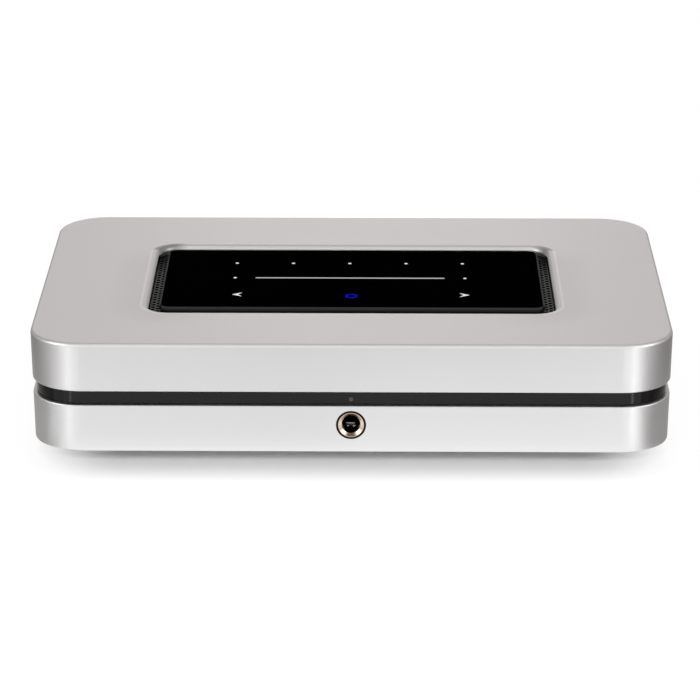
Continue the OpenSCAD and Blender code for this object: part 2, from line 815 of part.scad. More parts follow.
// A flat cable's side view: a C from the upper plug to the lower plug, opening towards +Y
module cable_loop(y, z0, z1) {
    for (z = [z0, z1]) translate([y - ffc_tail, z - ffc_t / 2]) square([ffc_tail, ffc_t]);
    for (k = [[z1 - ffc_r, 0], [z0 + ffc_r, -ffc_r - ffc_t]]) translate([y - ffc_tail, k[0]])
        intersection() {
            difference() {
                circle(ffc_r + ffc_t / 2);
                circle(ffc_r - ffc_t / 2);
            }
            translate([-ffc_r - ffc_t, k[1]]) square([ffc_r + ffc_t, ffc_r + ffc_t]);
        }
    translate([y - ffc_tail - ffc_r - ffc_t / 2, z0 + ffc_r]) square([ffc_t, z1 - z0 - 2 * ffc_r]);
}

module touch_cable() color([0.85, 0.85, 0.8])
    translate([touch_plug_x - ffc_w / 2, 0, 0]) rotate([90, 0, 90]) linear_extrude(ffc_w)
        cable_loop(touch_plug_y, board_top + plug_h / 2, sensor_bot - plug_h / 2);

module vent_strip(s) translate([s * strip_x, touch_y, 0]) rise(trough_z - strip_t, trough_z)
    difference() {
        square([strip_w, strip_l], center = true);
        for (c = [-1 : 1], i = [0 : hole_rows - 1 + (c == 0 ? 0 : 1)])
            translate([c * column_apart, (i - (hole_rows - 1 + (c == 0 ? 0 : 1)) / 2) * hole_pitch])
                circle(d = hole_d, $fn = 14);
    }
module vent_strip_left() color([0.22, 0.22, 0.225]) vent_strip(-1);
module vent_strip_right() color([0.22, 0.22, 0.225]) vent_strip(1);

module headphone_bushing() color([0.80, 0.66, 0.58])
    translate([0, jack_face, jack_z]) rotate([-90, 0, 0]) rotate_extrude() difference() {
        polygon([[jack_bore / 2, jack_dish], [jack_ring / 2 - jack_lip, 0], [jack_ring / 2, 0],
            [jack_ring / 2, jack_y0 + jack_seat - jack_face],
            [jack_bore / 2, jack_y0 + jack_seat - jack_face]]);
        nip([jack_ring / 2, 0], [-1, 0], [0, 1], jack_lip / 2);
    }

module headphone_body() color([0.05, 0.05, 0.055]) difference() {
    box(-jack_w / 2, jack_w / 2, jack_y0, jack_y1, jack_z - jack_drop, front_bot);
    rod_y(0, jack_z, jack_ring / 2 + slip, jack_y0 - cut, jack_y0 + jack_seat);
    rod_y(0, jack_z, jack_bore / 2 + bore_gap, jack_y0, jack_y1 - jack_end);
    box(leaf_wall - jack_w / 2, jack_w / 2 - leaf_wall, leaf_y0, leaf_y1,
        jack_z - leaf_slot, jack_z + leaf_slot);
}

// Leaf springs beside the bore, one each side, with a bend that meets the plug
module headphone_springs() color([0.85, 0.72, 0.4]) for (s = [-1, 1]) {
    translate([s * leaf_x, (leaf_y0 + leaf_y1) / 2, jack_z])
        cube([leaf_t, leaf_y1 - leaf_y0 - 2 * leaf_gap, leaf_h], center = true);
    translate([s * leaf_x, bend_y - s * bend_apart, jack_z]) rotate([0, s * -90, 0])
        cylinder(r = bend_r, h = leaf_x - jack_bore / 2 - bend_gap);
}

module front_board() color([0.05, 0.24, 0.14]) {
    rise(front_bot, front_top) difference() {
        translate([-front_hw, front_y0]) square([2 * front_hw, front_y1 - front_y0]);
        at_front_posts() circle(screw_small + hole_gap);
    }
    translate([front_plug_x, front_plug_y, front_bot - plug_h / 2])
        cube([front_plug_w, plug_d, plug_h], center = true);
}

module status_light() color([0.9, 0.9, 0.92])
    box(-led_w / 2, led_w / 2, front_y0, front_y0 + led_d, front_top, front_top + led_h);

// The front board's flat cable, folded back to the main board
module front_cable() color([0.85, 0.85, 0.8])
    translate([front_plug_x - front_ffc_w / 2, 0, 0]) rotate([90, 0, 90]) linear_extrude(front_ffc_w) {
        z1 = front_bot - plug_h / 2;
        z0 = board_top + plug_h / 2;
        y1 = front_plug_y + plug_d / 2;
        fold = front_y1 + front_fold;
        translate([y1, z1 - ffc_t / 2]) square([fold - y1, ffc_t]);
        translate([fold - ffc_t / 2, z0 - ffc_t / 2]) square([ffc_t, z1 - z0 + ffc_t]);
        translate([fold, z0 - ffc_t / 2]) square([board_front + main_plug_in - fold, ffc_t]);
    }

// Upright harness plug on a board's edge
module harness_plug(x) box(x - harness_w / 2, x + harness_w / 2, harness_y - harness_l / 2,
    harness_y + harness_l / 2, board_top, board_top + harness_h);

module main_board() color([0.05, 0.24, 0.14]) {
    rise(board_bot, board_top) difference() {
        translate([main_l, board_front]) square([main_r - main_l, board_rear - board_front]);
        for (x = [main_l + post_in, main_r - post_in], y = post_y)
            translate([x, y]) circle(screw_small + hole_gap);
    }
    translate([touch_plug_x, touch_plug_y + plug_d / 2, board_top + plug_h / 2])
        cube([ffc_w + 2 * plug_side, plug_d, plug_h], center = true);
    translate([front_plug_x, board_front + main_plug_in + plug_d / 2, board_top + plug_h / 2])
        cube([front_plug_w, plug_d, plug_h], center = true);
    harness_plug(split_x + harness_span);
}

module processor() color([0.1, 0.1, 0.11]) translate([chip_x, chip_y, board_top + chip_t / 2])
    cube([chip_w, chip_w, chip_t], center = true);

module heat_sink() color([0.6, 0.6, 0.62]) translate([chip_x, chip_y, board_top + chip_t]) {
    translate([-sink_w / 2, -sink_w / 2, 0]) cube([sink_w, sink_w, sink_base]);
    for (i = [0 : fin_n])
        translate([i * (sink_w - fin_t) / fin_n - sink_w / 2, -sink_w / 2, sink_base - weld])
            cube([fin_t, sink_w, sink_h - sink_base + weld]);
}

module wireless_module() color([0.72, 0.72, 0.74]) {
    box(radio_x - radio_w / 2, radio_x + radio_w / 2, radio_y - radio_d / 2, radio_y + radio_d / 2,
        board_top, board_top + radio_h);
    for (s = [-1, 1]) rod_z(radio_x + s * radio_plug[0], radio_y + radio_plug[1], radio_plug_r,
        board_top + radio_h - weld, radio_plug_z);
}

module audio_capacitors() color([0.16, 0.2, 0.36]) for (i = [-3 : 0], j = [1 : 2])
    rod_z(can_x + i * can_apart, board_rear - phono_deep - j * can_back, can_r,
        board_top, board_top + can_h);

// Strip aerials on the band's inner face, at the side and at the front
module aerial_side() color([0.75, 0.6, 0.3])
    translate([half_w - ring_in - aerial_t / 2, aerial_y, mid_z])
        cube([aerial_t, aerial_l, aerial_h], center = true);
module aerial_front() color([0.75, 0.6, 0.3])
    translate([aerial_x, ring_in + aerial_t / 2 - half_d, mid_z])
        cube([aerial_l, aerial_t, aerial_h], center = true);

// A lead laid level through the points p, with its round plug at the last one
module lead(p) {
    rise(mid_z - lead_r, mid_z + lead_r) for (i = [0 : len(p) - 2]) {
        d = p[i + 1] - p[i];
        translate(p[i]) rotate(atan2(d[1], d[0])) translate([0, -lead_r]) square([norm(d), 2 * lead_r]);
        if (i > 0) translate(p[i]) circle(lead_r + lead_joint);
    }
    end = p[len(p) - 1];
    rod_z(end[0], end[1], lead_r * 2, radio_plug_z, mid_z + lead_r + hole_gap);
}
module aerial_leads() color([0.08, 0.08, 0.085]) {
    lead([[half_w - ring_in - aerial_t, aerial_y], [main_r + lead_side, aerial_y],
        [radio_x + radio_plug[0], radio_y + radio_plug[1]]]);
    lead([[aerial_x, ring_in + aerial_t - half_d], [aerial_x, board_front],
        [radio_x - radio_plug[0], radio_y + radio_plug[1]]]);
}

module power_board() color([0.30, 0.24, 0.10]) {
    rise(board_bot, board_top) difference() {
        translate([psu_l, board_front]) square([psu_r - psu_l, board_rear - board_front]);
        for (x = [psu_l + post_in, psu_r - post_in], y = post_y)
            translate([x, y]) circle(screw_small + hole_gap);
    }
    harness_plug(split_x - harness_span);
}

module transformer() color([0.75, 0.62, 0.2]) {
    w = coil_w / 2;
    box(coil_x - w, coil_x + w, coil_y - w + coil_cut, coil_y + w - coil_cut,
        board_top, board_top + coil_foot);
    box(coil_x - w, coil_x + w, coil_y - w + core_in, coil_y + w - core_in,
        board_top + coil_foot - weld, board_top + coil_h);
    rod_z(coil_x, coil_y, w - 2 * coil_cut, board_top + coil_foot - weld, board_top + coil_h - coil_foot);
}
module mains_choke() color([0.55, 0.3, 0.12])
    translate([psu_l + choke_r + choke_turn + psu_margin, choke_y, board_top + choke_turn])
        rotate_extrude() translate([choke_r, 0]) circle(choke_turn);
module main_capacitor() color([0.1, 0.1, 0.12])
    rod_z(psu_r - main_cap_d / 2 - psu_margin, choke_y, main_cap_d / 2, board_top, board_top + main_cap_h);
module output_capacitors() color([0.16, 0.2, 0.36]) for (i = [0 : 2])
    rod_z(psu_l + out_cap_in + out_cap_d / 2 + i * (out_cap_d + out_cap_gap),
        post_y[0] + out_cap_d / 2 + out_cap_gap, out_cap_d / 2, board_top, board_top + out_cap_h);
module heat_plate() color([0.6, 0.6, 0.62]) {
    x1 = psu_r - heat_in;
    box(x1 - heat_t, x1, heat_y, heat_y + heat_l, board_top, board_top + heat_h);
    box(x1 - heat_top, x1, heat_y, heat_y + heat_l, board_top + heat_h - heat_t, board_top + heat_h);
}
module insulating_sheet() color([0.9, 0.9, 0.85]) rise(floor_z, floor_z + film_t) difference() {
    translate([psu_l, board_front]) square([power_w, flange_y - flange_t - bay_back - board_front]);
    for (x = [psu_l + post_in, psu_r - post_in], y = post_y) translate([x, y]) circle(post_r + hole_gap);
}
module power_harness() color([0.7, 0.1, 0.08]) for (i = [-1.5 : 1.5])
    translate([split_x, harness_y + i * wire_apart, board_top + harness_h]) rotate([90, 0, 0])
        rotate_extrude(angle = 180) translate([harness_span, 0]) circle(wire_r);

// Openings in the panel for every connector, in (x, z)
module panel_holes() {
    for (x = [line_x, digital_x], z = phono_z)
        translate([x, z]) circle(phono_r + phono_step + panel_gap);
    translate([phono_x, mid_z]) circle(screw_small + hole_gap);
    for (x = mini_x) translate([x, mini_z]) circle(mini_nose / 2 + panel_gap);
    translate([optic_x, (board_top + optic_top) / 2])
        square([optic_w + 2 * panel_gap, optic_top - board_top + 2 * panel_gap], center = true);
    translate([hdmi_x, hdmi_z])
        square([hdmi_w + 2 * panel_gap, hdmi_h + 2 * panel_gap], center = true);
    translate([usb_x, usb_z]) square([usb_w + 2 * panel_gap, usb_h + 2 * panel_gap], center = true);
    translate([lan_x, lan_z]) square([lan_w + 2 * panel_gap, lan_h + 2 * panel_gap], center = true);
    translate([inlet_x, inlet_z]) square([inlet_w + 2 * panel_gap, inlet_h + 2 * panel_gap], center = true);
}

// The rear panel is three plates side by side, one each for mains, data and audio sockets
module panel_plate(x0, x1) along_y(pan_in, pan_out) difference() {
    intersection() {
        bay_outline(-fit);
        translate([x0, mid_z - bay_hh]) square([x1 - x0, 2 * bay_hh]);
    }
    panel_holes();
}
module mains_plate() color([0.06, 0.06, 0.065]) panel_plate(-bay_hw, split_mains - fit / 2);
module data_plate() color([0.06, 0.06, 0.065])
    panel_plate(split_mains + fit / 2, split_audio - fit / 2);
module audio_plate() color([0.06, 0.06, 0.065]) panel_plate(split_audio + fit / 2, bay_hw);
// The bay's walls stand on the plates; their flange is held behind the shells' rear walls
module bay_frame() color([0.06, 0.06, 0.065]) {
    along_y(pan_out, bay_end) difference() {
        bay_outline(-fit);
        bay_outline(-fit - bay_t);
    }
    along_y(flange_y - flange_t, flange_y) difference() {
        bay_outline(flange_w);
        bay_outline(-fit - bay_t);
    }
}

// Figure-of-eight recess of the mains inlet, in (x, z), narrowed at its waist
module inlet_recess() difference() {
    slot(pin_pitch + recess_w, recess_w);
    for (s = [-1, 1]) polygon([[-waist_w, s * (recess_w / 2 + weld)], [waist_w, s * (recess_w / 2 + weld)],
        [0, s * waist_h]]);
}
module mains_inlet() color([0.06, 0.06, 0.065]) difference() {
    along_y(inlet_end - inlet_l, inlet_end) translate([inlet_x, inlet_z])
        round_rect(inlet_w, inlet_h, inlet_r);
    along_y(inlet_end - inlet_deep, inlet_end + cut) translate([inlet_x, inlet_z]) inlet_recess();
    for (s = [-1, 1]) rod_y(inlet_x + s * pin_pitch / 2, inlet_z, pin_d / 2 + slip,
        inlet_end - inlet_l + pin_root, inlet_end);
}
module mains_pins() color([0.78, 0.78, 0.8]) for (s = [-1, 1]) {
    rod_y(inlet_x + s * pin_pitch / 2, inlet_z, pin_d / 2,
        inlet_end - inlet_l + pin_root + hole_gap, inlet_end - pin_in);
    translate([inlet_x + s * pin_pitch / 2, inlet_end - pin_in, inlet_z]) sphere(pin_d / 2);
}

// A step of the plug's space below its middle: width, height and lower edge in k
module lan_step(k) translate([-k[0] / 2, k[2]]) square([k[0], k[1]]);
module network_socket() color([0.72, 0.72, 0.74]) difference() {
    box(lan_x - lan_w / 2, lan_x + lan_w / 2, lan_end - lan_l, lan_end, board_top, board_top + lan_h);
    along_y(lan_end - lan_deep, lan_end + cut) translate([lan_x, lan_z + lan_up]) {
        square(plug_space, center = true);
        lan_step(latch_space);
        lan_step(latch_slot);
    }
    along_y(lan_end - lan_light_deep, lan_end + cut) lan_lamps(0);
}
// Outlines of the two light windows, drawn in by g
module lan_lamps(g) for (s = [-1, 1]) translate([lan_x + s * lan_light_x, lan_z + lan_light_z])
    square([lan_light[0] - 2 * g, lan_light[1] - 2 * g], center = true);
module network_lights() color([0.75, 0.7, 0.3])
    along_y(lan_end - lan_light_deep, lan_end - lan_light_in) lan_lamps(slip);
module network_contacts() color([0.85, 0.72, 0.4]) for (i = [-3.5 : 3.5]) {
    x = lan_x + i * wire_pitch;
    top = lan_z + lan_up + plug_space[1] / 2;
    box(x - wire_w / 2, x + wire_w / 2, lan_end - lan_deep, lan_end - wire_in, top - wire_t, top);
    box(x - wire_w / 2, x + wire_w / 2, lan_end - lan_deep, lan_end - lan_deep + wire_t,
        lan_z - wire_drop, top - wire_t / 2);
}

// Solder tab below a port shell, h under the shell's axis
module port_tab(x, h) translate([x, port_end - port_l + tab_back, -h])
    cube([tab_w, tab_l, 2 * port_lift], center = true);
module usb_shell() color([0.75, 0.75, 0.77]) translate([usb_x, 0, usb_z]) {
    along_y(port_end - port_l, port_end) difference() {
        round_rect(usb_w, usb_h, port_r);
        square([usb_w - 2 * sheet_t, usb_h - 2 * sheet_t], center = true);
    }
    for (s = [-1, 1]) port_tab(s * (usb_w / 2 - usb_tab_in), usb_h / 2);
}
module usb_tongue() color([0.9, 0.9, 0.9]) translate([usb_x, 0, usb_z]) {
    along_y(port_end - port_l, port_end - port_l + port_back)
        square([usb_w - 2 * (sheet_t + slip), usb_h - 2 * (sheet_t + slip)], center = true);
    along_y(port_end - port_l + port_back - weld, port_end - usb_in)
        translate([-usb_blade[0] / 2, usb_blade_up]) square(usb_blade);
}

// Outline of the HDMI shell in (x, z), drawn in by g: flat sides above, sloping lower corners
module hdmi_outline(g) {
    w = hdmi_w / 2 - g;
    h = hdmi_h / 2 - g;
    polygon([[-w, h], [w, h], [w, hdmi_rise - h], [w - hdmi_slope, -h], [hdmi_slope - w, -h],
        [-w, hdmi_rise - h]]);
}
module hdmi_shell() color([0.75, 0.75, 0.77]) translate([hdmi_x, 0, hdmi_z]) {
    along_y(port_end - port_l, port_end) difference() {
        hdmi_outline(0);
        hdmi_outline(sheet_t);
    }
    for (s = [-1, 1]) port_tab(s * (hdmi_w / 2 - hdmi_tab_in), hdmi_h / 2);
}
module hdmi_tongue() color([0.08, 0.08, 0.085]) translate([hdmi_x, 0, hdmi_z]) {
    along_y(port_end - port_l, port_end - port_l + port_back) hdmi_outline(sheet_t + slip);
    along_y(port_end - port_l + port_back - weld, port_end - hdmi_in)
        translate([-hdmi_blade[0] / 2, 0]) square(hdmi_blade);
}

// A round bar on the shutter's hinge line, reaching l to each side
module pivot(r, l) translate([optic_x - l, hinge_y, hinge_z]) rotate([0, 90, 0])
    cylinder(r = r, h = 2 * l);
// Optical housing: square mouth, taller chamber behind it where the shutter folds up
module optical_housing() color([0.07, 0.07, 0.075]) difference() {
    box(optic_x - optic_w / 2, optic_x + optic_w / 2, optic_end - optic_l, optic_end,
        board_top, optic_top);
    box(optic_x - optic_open / 2, optic_x + optic_open / 2, optic_end - chamber_deep, optic_end + cut,
        optic_z - optic_open / 2, optic_z + optic_open / 2);
    box(optic_x - chamber_w / 2, optic_x + chamber_w / 2, optic_end - chamber_deep,
        optic_end - mouth_t, optic_z - optic_open / 2, optic_z + chamber_top);
    pivot(pivot_r + pivot_gap, chamber_w / 2 + pivot_l + swing);
    rod_y(optic_x, optic_z, emitter_r, optic_end - optic_l + emitter_end, optic_end - chamber_deep + cut);
}
module optical_shutter() color([0.10, 0.10, 0.105]) {
    box(optic_x - shutter_w / 2, optic_x + shutter_w / 2, hinge_y - shutter_t / 2,
        hinge_y + shutter_t / 2, hinge_z - shutter_drop, hinge_z);
    pivot(shutter_t / 2, shutter_w / 2);
    pivot(pivot_r, chamber_w / 2 + pivot_l);
}
module optical_emitter() color([0.7, 0.2, 0.2])
    rod_y(optic_x, optic_z, emitter_r - slip, optic_end - optic_l + emitter_end,
        optic_end - chamber_deep - swing);

module phono_barrels() color([0.78, 0.74, 0.62]) for (x = [line_x, digital_x], z = phono_z) {
    tube_y(x, z, phono_r + phono_step, phono_r - phono_t, pan_in, pan_out);
    tube_y(x, z, phono_r, phono_r - phono_t, pan_out, phono_end);
}
module phono_insert(x, z)
    tube_y(x, z, phono_r - phono_t - slip, phono_pin / 2 + contact_t + slip,
        pan_in, phono_end - insert_in);
module phono_inserts_white() color([0.92, 0.92, 0.9]) {
    phono_insert(line_x, phono_z[0]);
    phono_insert(digital_x, phono_z[0]);
}
module phono_insert_red() color([0.75, 0.06, 0.06]) phono_insert(line_x, phono_z[1]);
module phono_insert_orange() color([0.9, 0.42, 0.05]) phono_insert(digital_x, phono_z[1]);
module phono_contacts() color([0.85, 0.72, 0.4]) for (x = [line_x, digital_x], z = phono_z)
    tube_y(x, z, phono_pin / 2 + contact_t, phono_pin / 2, pan_in, phono_end - contact_in);
module phono_block() color([0.08, 0.08, 0.085]) difference() {
    box(digital_x - phono_w / 2, line_x + phono_w / 2, pan_in - phono_deep, pan_in, board_top, phono_top);
    rod_y(phono_x, mid_z, screw_small + slip, pan_in - panel_bite - cut, pan_in + cut);
}

module mini_jacks() color([0.07, 0.07, 0.075]) for (x = mini_x) difference() {
    union() {
        box(x - mini_w / 2, x + mini_w / 2, pan_in - mini_l, pan_in, board_top, board_top + mini_h);
        rod_y(x, mini_z, mini_nose / 2, pan_in - weld, mini_end);
    }
    rod_y(x, mini_z, mini_bore / 2, pan_in - mini_l + mini_end_t, mini_end + cut);
}

module rubber_feet() color([0.07, 0.07, 0.07]) at_corners(half_w - foot_in_x, half_d - foot_in_y)
    rotate_extrude() difference() {
        polygon([[0, 0], [foot_r - foot_taper, 0], [foot_r, base_z - foot_rim],
            [foot_r, base_z + foot_seat], [0, base_z + foot_seat]]);
        nip([foot_r - foot_taper, 0], [-1, 0], [foot_taper, base_z - foot_rim], foot_round);
    }

// A socket-head screw standing head down with its seat at z = 0
module screw(r, l, head_r, head_h) {
    difference() {
        translate([0, 0, -head_h]) cylinder(r = head_r, h = head_h);
        translate([0, 0, -head_h - cut]) cylinder(r = r, h = cut + head_h * head_key, $fn = 6);
    }
    translate([0, 0, -head_weld]) cylinder(r = r, h = l + head_weld);
}
module case_screws() color([0.25, 0.25, 0.26]) at_corners(boss_x, boss_y)
    translate([0, 0, seat_z]) screw(screw_r, screw_grip + screw_bite, screw_head_r, screw_head_h);
module board_screws() color([0.7, 0.7, 0.72]) {
    at_posts() translate([0, 0, board_top]) rotate([180, 0, 0])
        screw(screw_small, board_top - floor_z - screw_short, pan_head_r, pan_head_h);
    at_front_posts() translate([0, 0, front_top]) rotate([180, 0, 0])
        screw(screw_small, board_t + front_bite, pan_head_r, pan_head_h);
}
module carrier_screws() color([0.7, 0.7, 0.72]) at_ears()
    translate([0, 0, carrier_bot])
        screw(ear_screw_r, ear_top - hole_gap - carrier_bot, ear_head_r, ear_head_h);
module panel_screw() color([0.2, 0.2, 0.21]) translate([phono_x, pan_out, mid_z]) rotate([90, 0, 0])
    screw(screw_small, panel_t + panel_bite, panel_head_r, panel_head_h);

bottom_shell();
top_shell();
mid_frame();
status_window();
touch_glass();
touch_carrier();
touch_board();
touch_cable();
vent_strip_left();
vent_strip_right();
headphone_bushing();
headphone_body();
headphone_springs();
front_board();
status_light();
front_cable();
main_board();
processor();
heat_sink();
wireless_module();
audio_capacitors();
aerial_side();
aerial_front();
aerial_leads();
power_board();
transformer();
mains_choke();
main_capacitor();
output_capacitors();
heat_plate();
insulating_sheet();
power_harness();
mains_plate();
data_plate();
audio_plate();
bay_frame();
mains_inlet();
mains_pins();
network_socket();
network_contacts();
network_lights();
usb_shell();
usb_tongue();
hdmi_shell();
hdmi_tongue();
optical_housing();
optical_shutter();
optical_emitter();
phono_barrels();
phono_inserts_white();
phono_insert_red();
phono_insert_orange();
phono_contacts();
phono_block();
mini_jacks();
rubber_feet();
case_screws();
board_screws();
carrier_screws();
panel_screw();
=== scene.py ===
import math

import bpy
import numpy as np
from mathutils import Matrix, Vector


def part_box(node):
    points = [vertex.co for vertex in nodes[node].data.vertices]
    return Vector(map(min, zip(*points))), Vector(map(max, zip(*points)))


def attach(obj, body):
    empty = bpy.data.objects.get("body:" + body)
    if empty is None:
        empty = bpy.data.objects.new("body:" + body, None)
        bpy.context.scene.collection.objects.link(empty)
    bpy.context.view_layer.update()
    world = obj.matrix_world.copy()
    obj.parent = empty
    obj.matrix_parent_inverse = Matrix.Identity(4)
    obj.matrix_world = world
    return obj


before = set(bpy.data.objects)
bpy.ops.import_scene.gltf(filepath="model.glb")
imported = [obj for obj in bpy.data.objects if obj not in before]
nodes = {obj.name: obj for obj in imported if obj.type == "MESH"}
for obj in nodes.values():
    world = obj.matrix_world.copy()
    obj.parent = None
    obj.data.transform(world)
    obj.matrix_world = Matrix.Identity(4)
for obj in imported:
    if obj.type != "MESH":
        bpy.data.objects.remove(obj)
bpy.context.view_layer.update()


# Lower shell
# The tray that carries everything: cast aluminium, blasted to an even matt skin and sprayed
# silver. Posts stand on its floor for the boards, and four in its corners for the case screws.

def joined(tree, how, *parts):
    """One Math node: numbers or outputs of other nodes, joined by the named operation."""
    node = tree.nodes.new("ShaderNodeMath")
    node.operation = how
    for socket, part in zip(node.inputs, parts):
        if isinstance(part, (int, float)):
            socket.default_value = part
        else:
            tree.links.new(part, socket)
    return node.outputs[0]


def scaled(tree, colour, share):
    """Output that is a colour times a share."""
    tint = tree.nodes.new("ShaderNodeVectorMath")
    tint.operation = "SCALE"
    tree.links.new(colour, tint.inputs[0])
    tree.links.new(share, tint.inputs["Scale"])
    return tint.outputs["Vector"]


def new_group(name, given, taken):
    """An empty node group with the named sockets, then what it is given and what it puts out."""
    group = bpy.data.node_groups.new(name, "ShaderNodeTree")
    for way, sockets in (("INPUT", given), ("OUTPUT", taken)):
        for socket, kind in sockets:
            group.interface.new_socket(socket, in_out=way, socket_type="NodeSocket" + kind)
    start, end = group.nodes.new("NodeGroupInput"), group.nodes.new("NodeGroupOutput")
    return group, start.outputs, end.inputs


def skin_group(slow_scale=26.0, slow_detail=4.0, fine_detail=3.0):
    """Node group of a blasted, sprayed or moulded skin. A fine noise in object space is the
    grain's height and breaks up the gloss; a slow noise shifts the tone from place to place."""
    group, given, out = new_group(
        "moulded_skin",
        (("Tone", "Color"), ("Drift", "Float"), ("Gloss", "Float"), ("Spread", "Float"),
         ("Grain", "Float")),
        (("Colour", "Color"), ("Roughness", "Float"), ("Height", "Float")))
    new, link = group.nodes.new, group.links.new
    place = new("ShaderNodeTexCoord")
    fine, slow = new("ShaderNodeTexNoise"), new("ShaderNodeTexNoise")
    fine.inputs["Detail"].default_value = fine_detail
    slow.inputs["Detail"].default_value = slow_detail
    slow.inputs["Scale"].default_value = slow_scale
    link(given["Grain"], fine.inputs["Scale"])
    for noise in (fine, slow):
        link(place.outputs["Object"], noise.inputs["Vector"])
    swing = joined(group, "SUBTRACT", slow.outputs["Fac"], 0.5)
    shade = joined(group, "MULTIPLY_ADD", swing, given["Drift"], 1.0)
    both = joined(group, "ADD", joined(group, "SUBTRACT", fine.outputs["Fac"], 0.5), swing)
    gloss = joined(group, "MULTIPLY_ADD", both, given["Spread"], given["Gloss"])
    link(scaled(group, given["Tone"], shade), out["Colour"])
    link(gloss, out["Roughness"])
    link(fine.outputs["Fac"], out["Height"])
    return group


moulded_skin = skin_group()


def blank(name):
    """A new material, its node tree and the inputs of its principled shader."""
    made = bpy.data.materials.new(name)
    made.use_nodes = True
    return made, made.node_tree, made.node_tree.nodes["Principled BSDF"].inputs


def placed_skin(tree, tone, gloss, drift, spread, grain):
    """Outputs of the skin group, placed in a material with that finish's own values."""
    group = tree.nodes.new("ShaderNodeGroup")
    group.node_tree = moulded_skin
    for socket, value in (("Tone", (*tone, 1.0)), ("Drift", drift), ("Gloss", gloss),
                          ("Spread", spread), ("Grain", grain)):
        group.inputs[socket].default_value = value
    return group.outputs


def skin(name, tone, gloss, metal=0.0, drift=0.12, spread=0.12, grain=1800.0, bump=0.06,
         depth=0.00004, fixed=()):
    """Material of one finish: the skin group feeds colour, roughness and bump of one principled
    shader, and fixed holds the plain numbers set on the shader's own sockets."""
    made, tree, sockets = blank(name)
    surface = placed_skin(tree, tone, gloss, drift, spread, grain)
    lift = tree.nodes.new("ShaderNodeBump")
    lift.inputs["Strength"].default_value = bump
    lift.inputs["Distance"].default_value = depth
    tree.links.new(surface["Colour"], sockets["Base Color"])
    tree.links.new(surface["Roughness"], sockets["Roughness"])
    tree.links.new(surface["Height"], lift.inputs["Height"])
    tree.links.new(lift.outputs["Normal"], sockets["Normal"])
    for socket, value in (("Metallic", metal), *fixed):
        sockets[socket].default_value = value
    return made


def dress(finish, *names):
    """Puts one finish on the named solids, in place of the colour that they came with."""
    for name in names:
        mesh = nodes[name].data
        mesh.materials.clear()
        mesh.materials.append(finish)


silver = skin("silver_spray", (0.731, 0.731, 0.731), 0.40, metal=1.0, drift=0.03, spread=0.08,
              grain=2600.0, bump=0.08)
dress(silver, "bottom_shell")


# Feet
# Four round feet of soft black rubber, pressed into round pockets under the lower shell.
# The skin is matt and a little dusty, as moulded rubber is.

dress(skin("foot_rubber", (0.018, 0.018, 0.019), 0.74, drift=0.4, spread=0.2, grain=1200.0,
           bump=0.25, fixed=(("Specular IOR Level", 0.3),)), "rubber_feet")


# Power supply
# A board of pale brown paper laminate over an insulating sheet, with its mains choke,
# transformer, capacitors and the plate that takes the heat of the switch into the shell.

dress(skin("laminate_brown", (0.30, 0.20, 0.09), 0.5, drift=0.35, spread=0.1), "power_board")
dress(skin("sheet_milky", (0.55, 0.54, 0.50), 0.32, drift=0.08), "insulating_sheet")
dress(skin("ferrite_tape", (0.62, 0.46, 0.08), 0.38, drift=0.3, spread=0.15, grain=700.0),
      "transformer")
dress(skin("choke_case", (0.05, 0.05, 0.055), 0.55, drift=0.3), "mains_choke")
dress(skin("sleeve_dark", (0.016, 0.02, 0.035), 0.34, drift=0.25), "main_capacitor",
      "output_capacitors")
dress(skin("plate_aluminium", (0.70, 0.71, 0.72), 0.36, metal=1.0, drift=0.1, grain=900.0),
      "heat_plate")
dress(skin("wire_red", (0.42, 0.03, 0.02), 0.42, drift=0.2), "power_harness")


# Main board and radio
# Green glass laminate with its processor under a black finned heat sink, the shielded radio
# module, film capacitors, flat cables, and two thin aerials inside the band with their leads.

dress(skin("laminate_green", (0.012, 0.075, 0.030), 0.36, drift=0.5, spread=0.12, grain=900.0),
      "main_board", "front_board", "touch_board")
dress(skin("chip_black", (0.014, 0.014, 0.015), 0.46, drift=0.25), "processor")
dress(skin("anodised_black", (0.02, 0.02, 0.022), 0.42, metal=0.4, drift=0.2), "heat_sink")
dress(skin("shield_can", (0.66, 0.66, 0.65), 0.30, metal=1.0, drift=0.1), "wireless_module")
dress(skin("film_block", (0.20, 0.025, 0.02), 0.33, drift=0.2), "audio_capacitors")
dress(skin("aerial_gold", (0.55, 0.40, 0.16), 0.33, metal=0.8, drift=0.15), "aerial_side",
      "aerial_front")
dress(skin("lead_black", (0.015, 0.015, 0.016), 0.48, drift=0.2), "aerial_leads")
dress(skin("ribbon_pale", (0.60, 0.60, 0.58), 0.40, drift=0.1), "front_cable", "touch_cable")


# Headphone socket
# A threaded bushing, turned from brass and bright nickel plated, comes through a larger hole in
# the lower shell. The black moulded body behind it holds the sprung contacts.

bush_low, bush_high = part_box("headphone_bushing")
bore_z = (bush_low.z + bush_high.z) / 2
bush_r = (bush_high.z - bush_low.z) / 2
# The bushing's outer rim is painted dark: painted shade that stands for the gap round it in the shell's
# hole.
gap_shade_start, gap_shade_full, gap_shade_tone = bush_r - 0.00032, bush_r - 0.00012, 0.03


def ramp(tree, value, start, stop, first, last):
    """Output that eases from first to last while the value goes from start to stop."""
    node = tree.nodes.new("ShaderNodeMapRange")
    node.interpolation_type = "SMOOTHSTEP"
    tree.links.new(value, node.inputs["Value"])
    for socket, number in (("From Min", start), ("From Max", stop),
                           ("To Min", first), ("To Max", last)):
        node.inputs[socket].default_value = number
    return node.outputs[0]


def object_place(tree):
    """Outputs X, Y and Z of the place on the object."""
    place, split = tree.nodes.new("ShaderNodeTexCoord"), tree.nodes.new("ShaderNodeSeparateXYZ")
    tree.links.new(place.outputs["Object"], split.inputs[0])
    return split.outputs


def squares(tree, u, v):
    """Output that is the square of u plus the square of v."""
    return joined(tree, "MULTIPLY_ADD", u, u, joined(tree, "MULTIPLY", v, v))


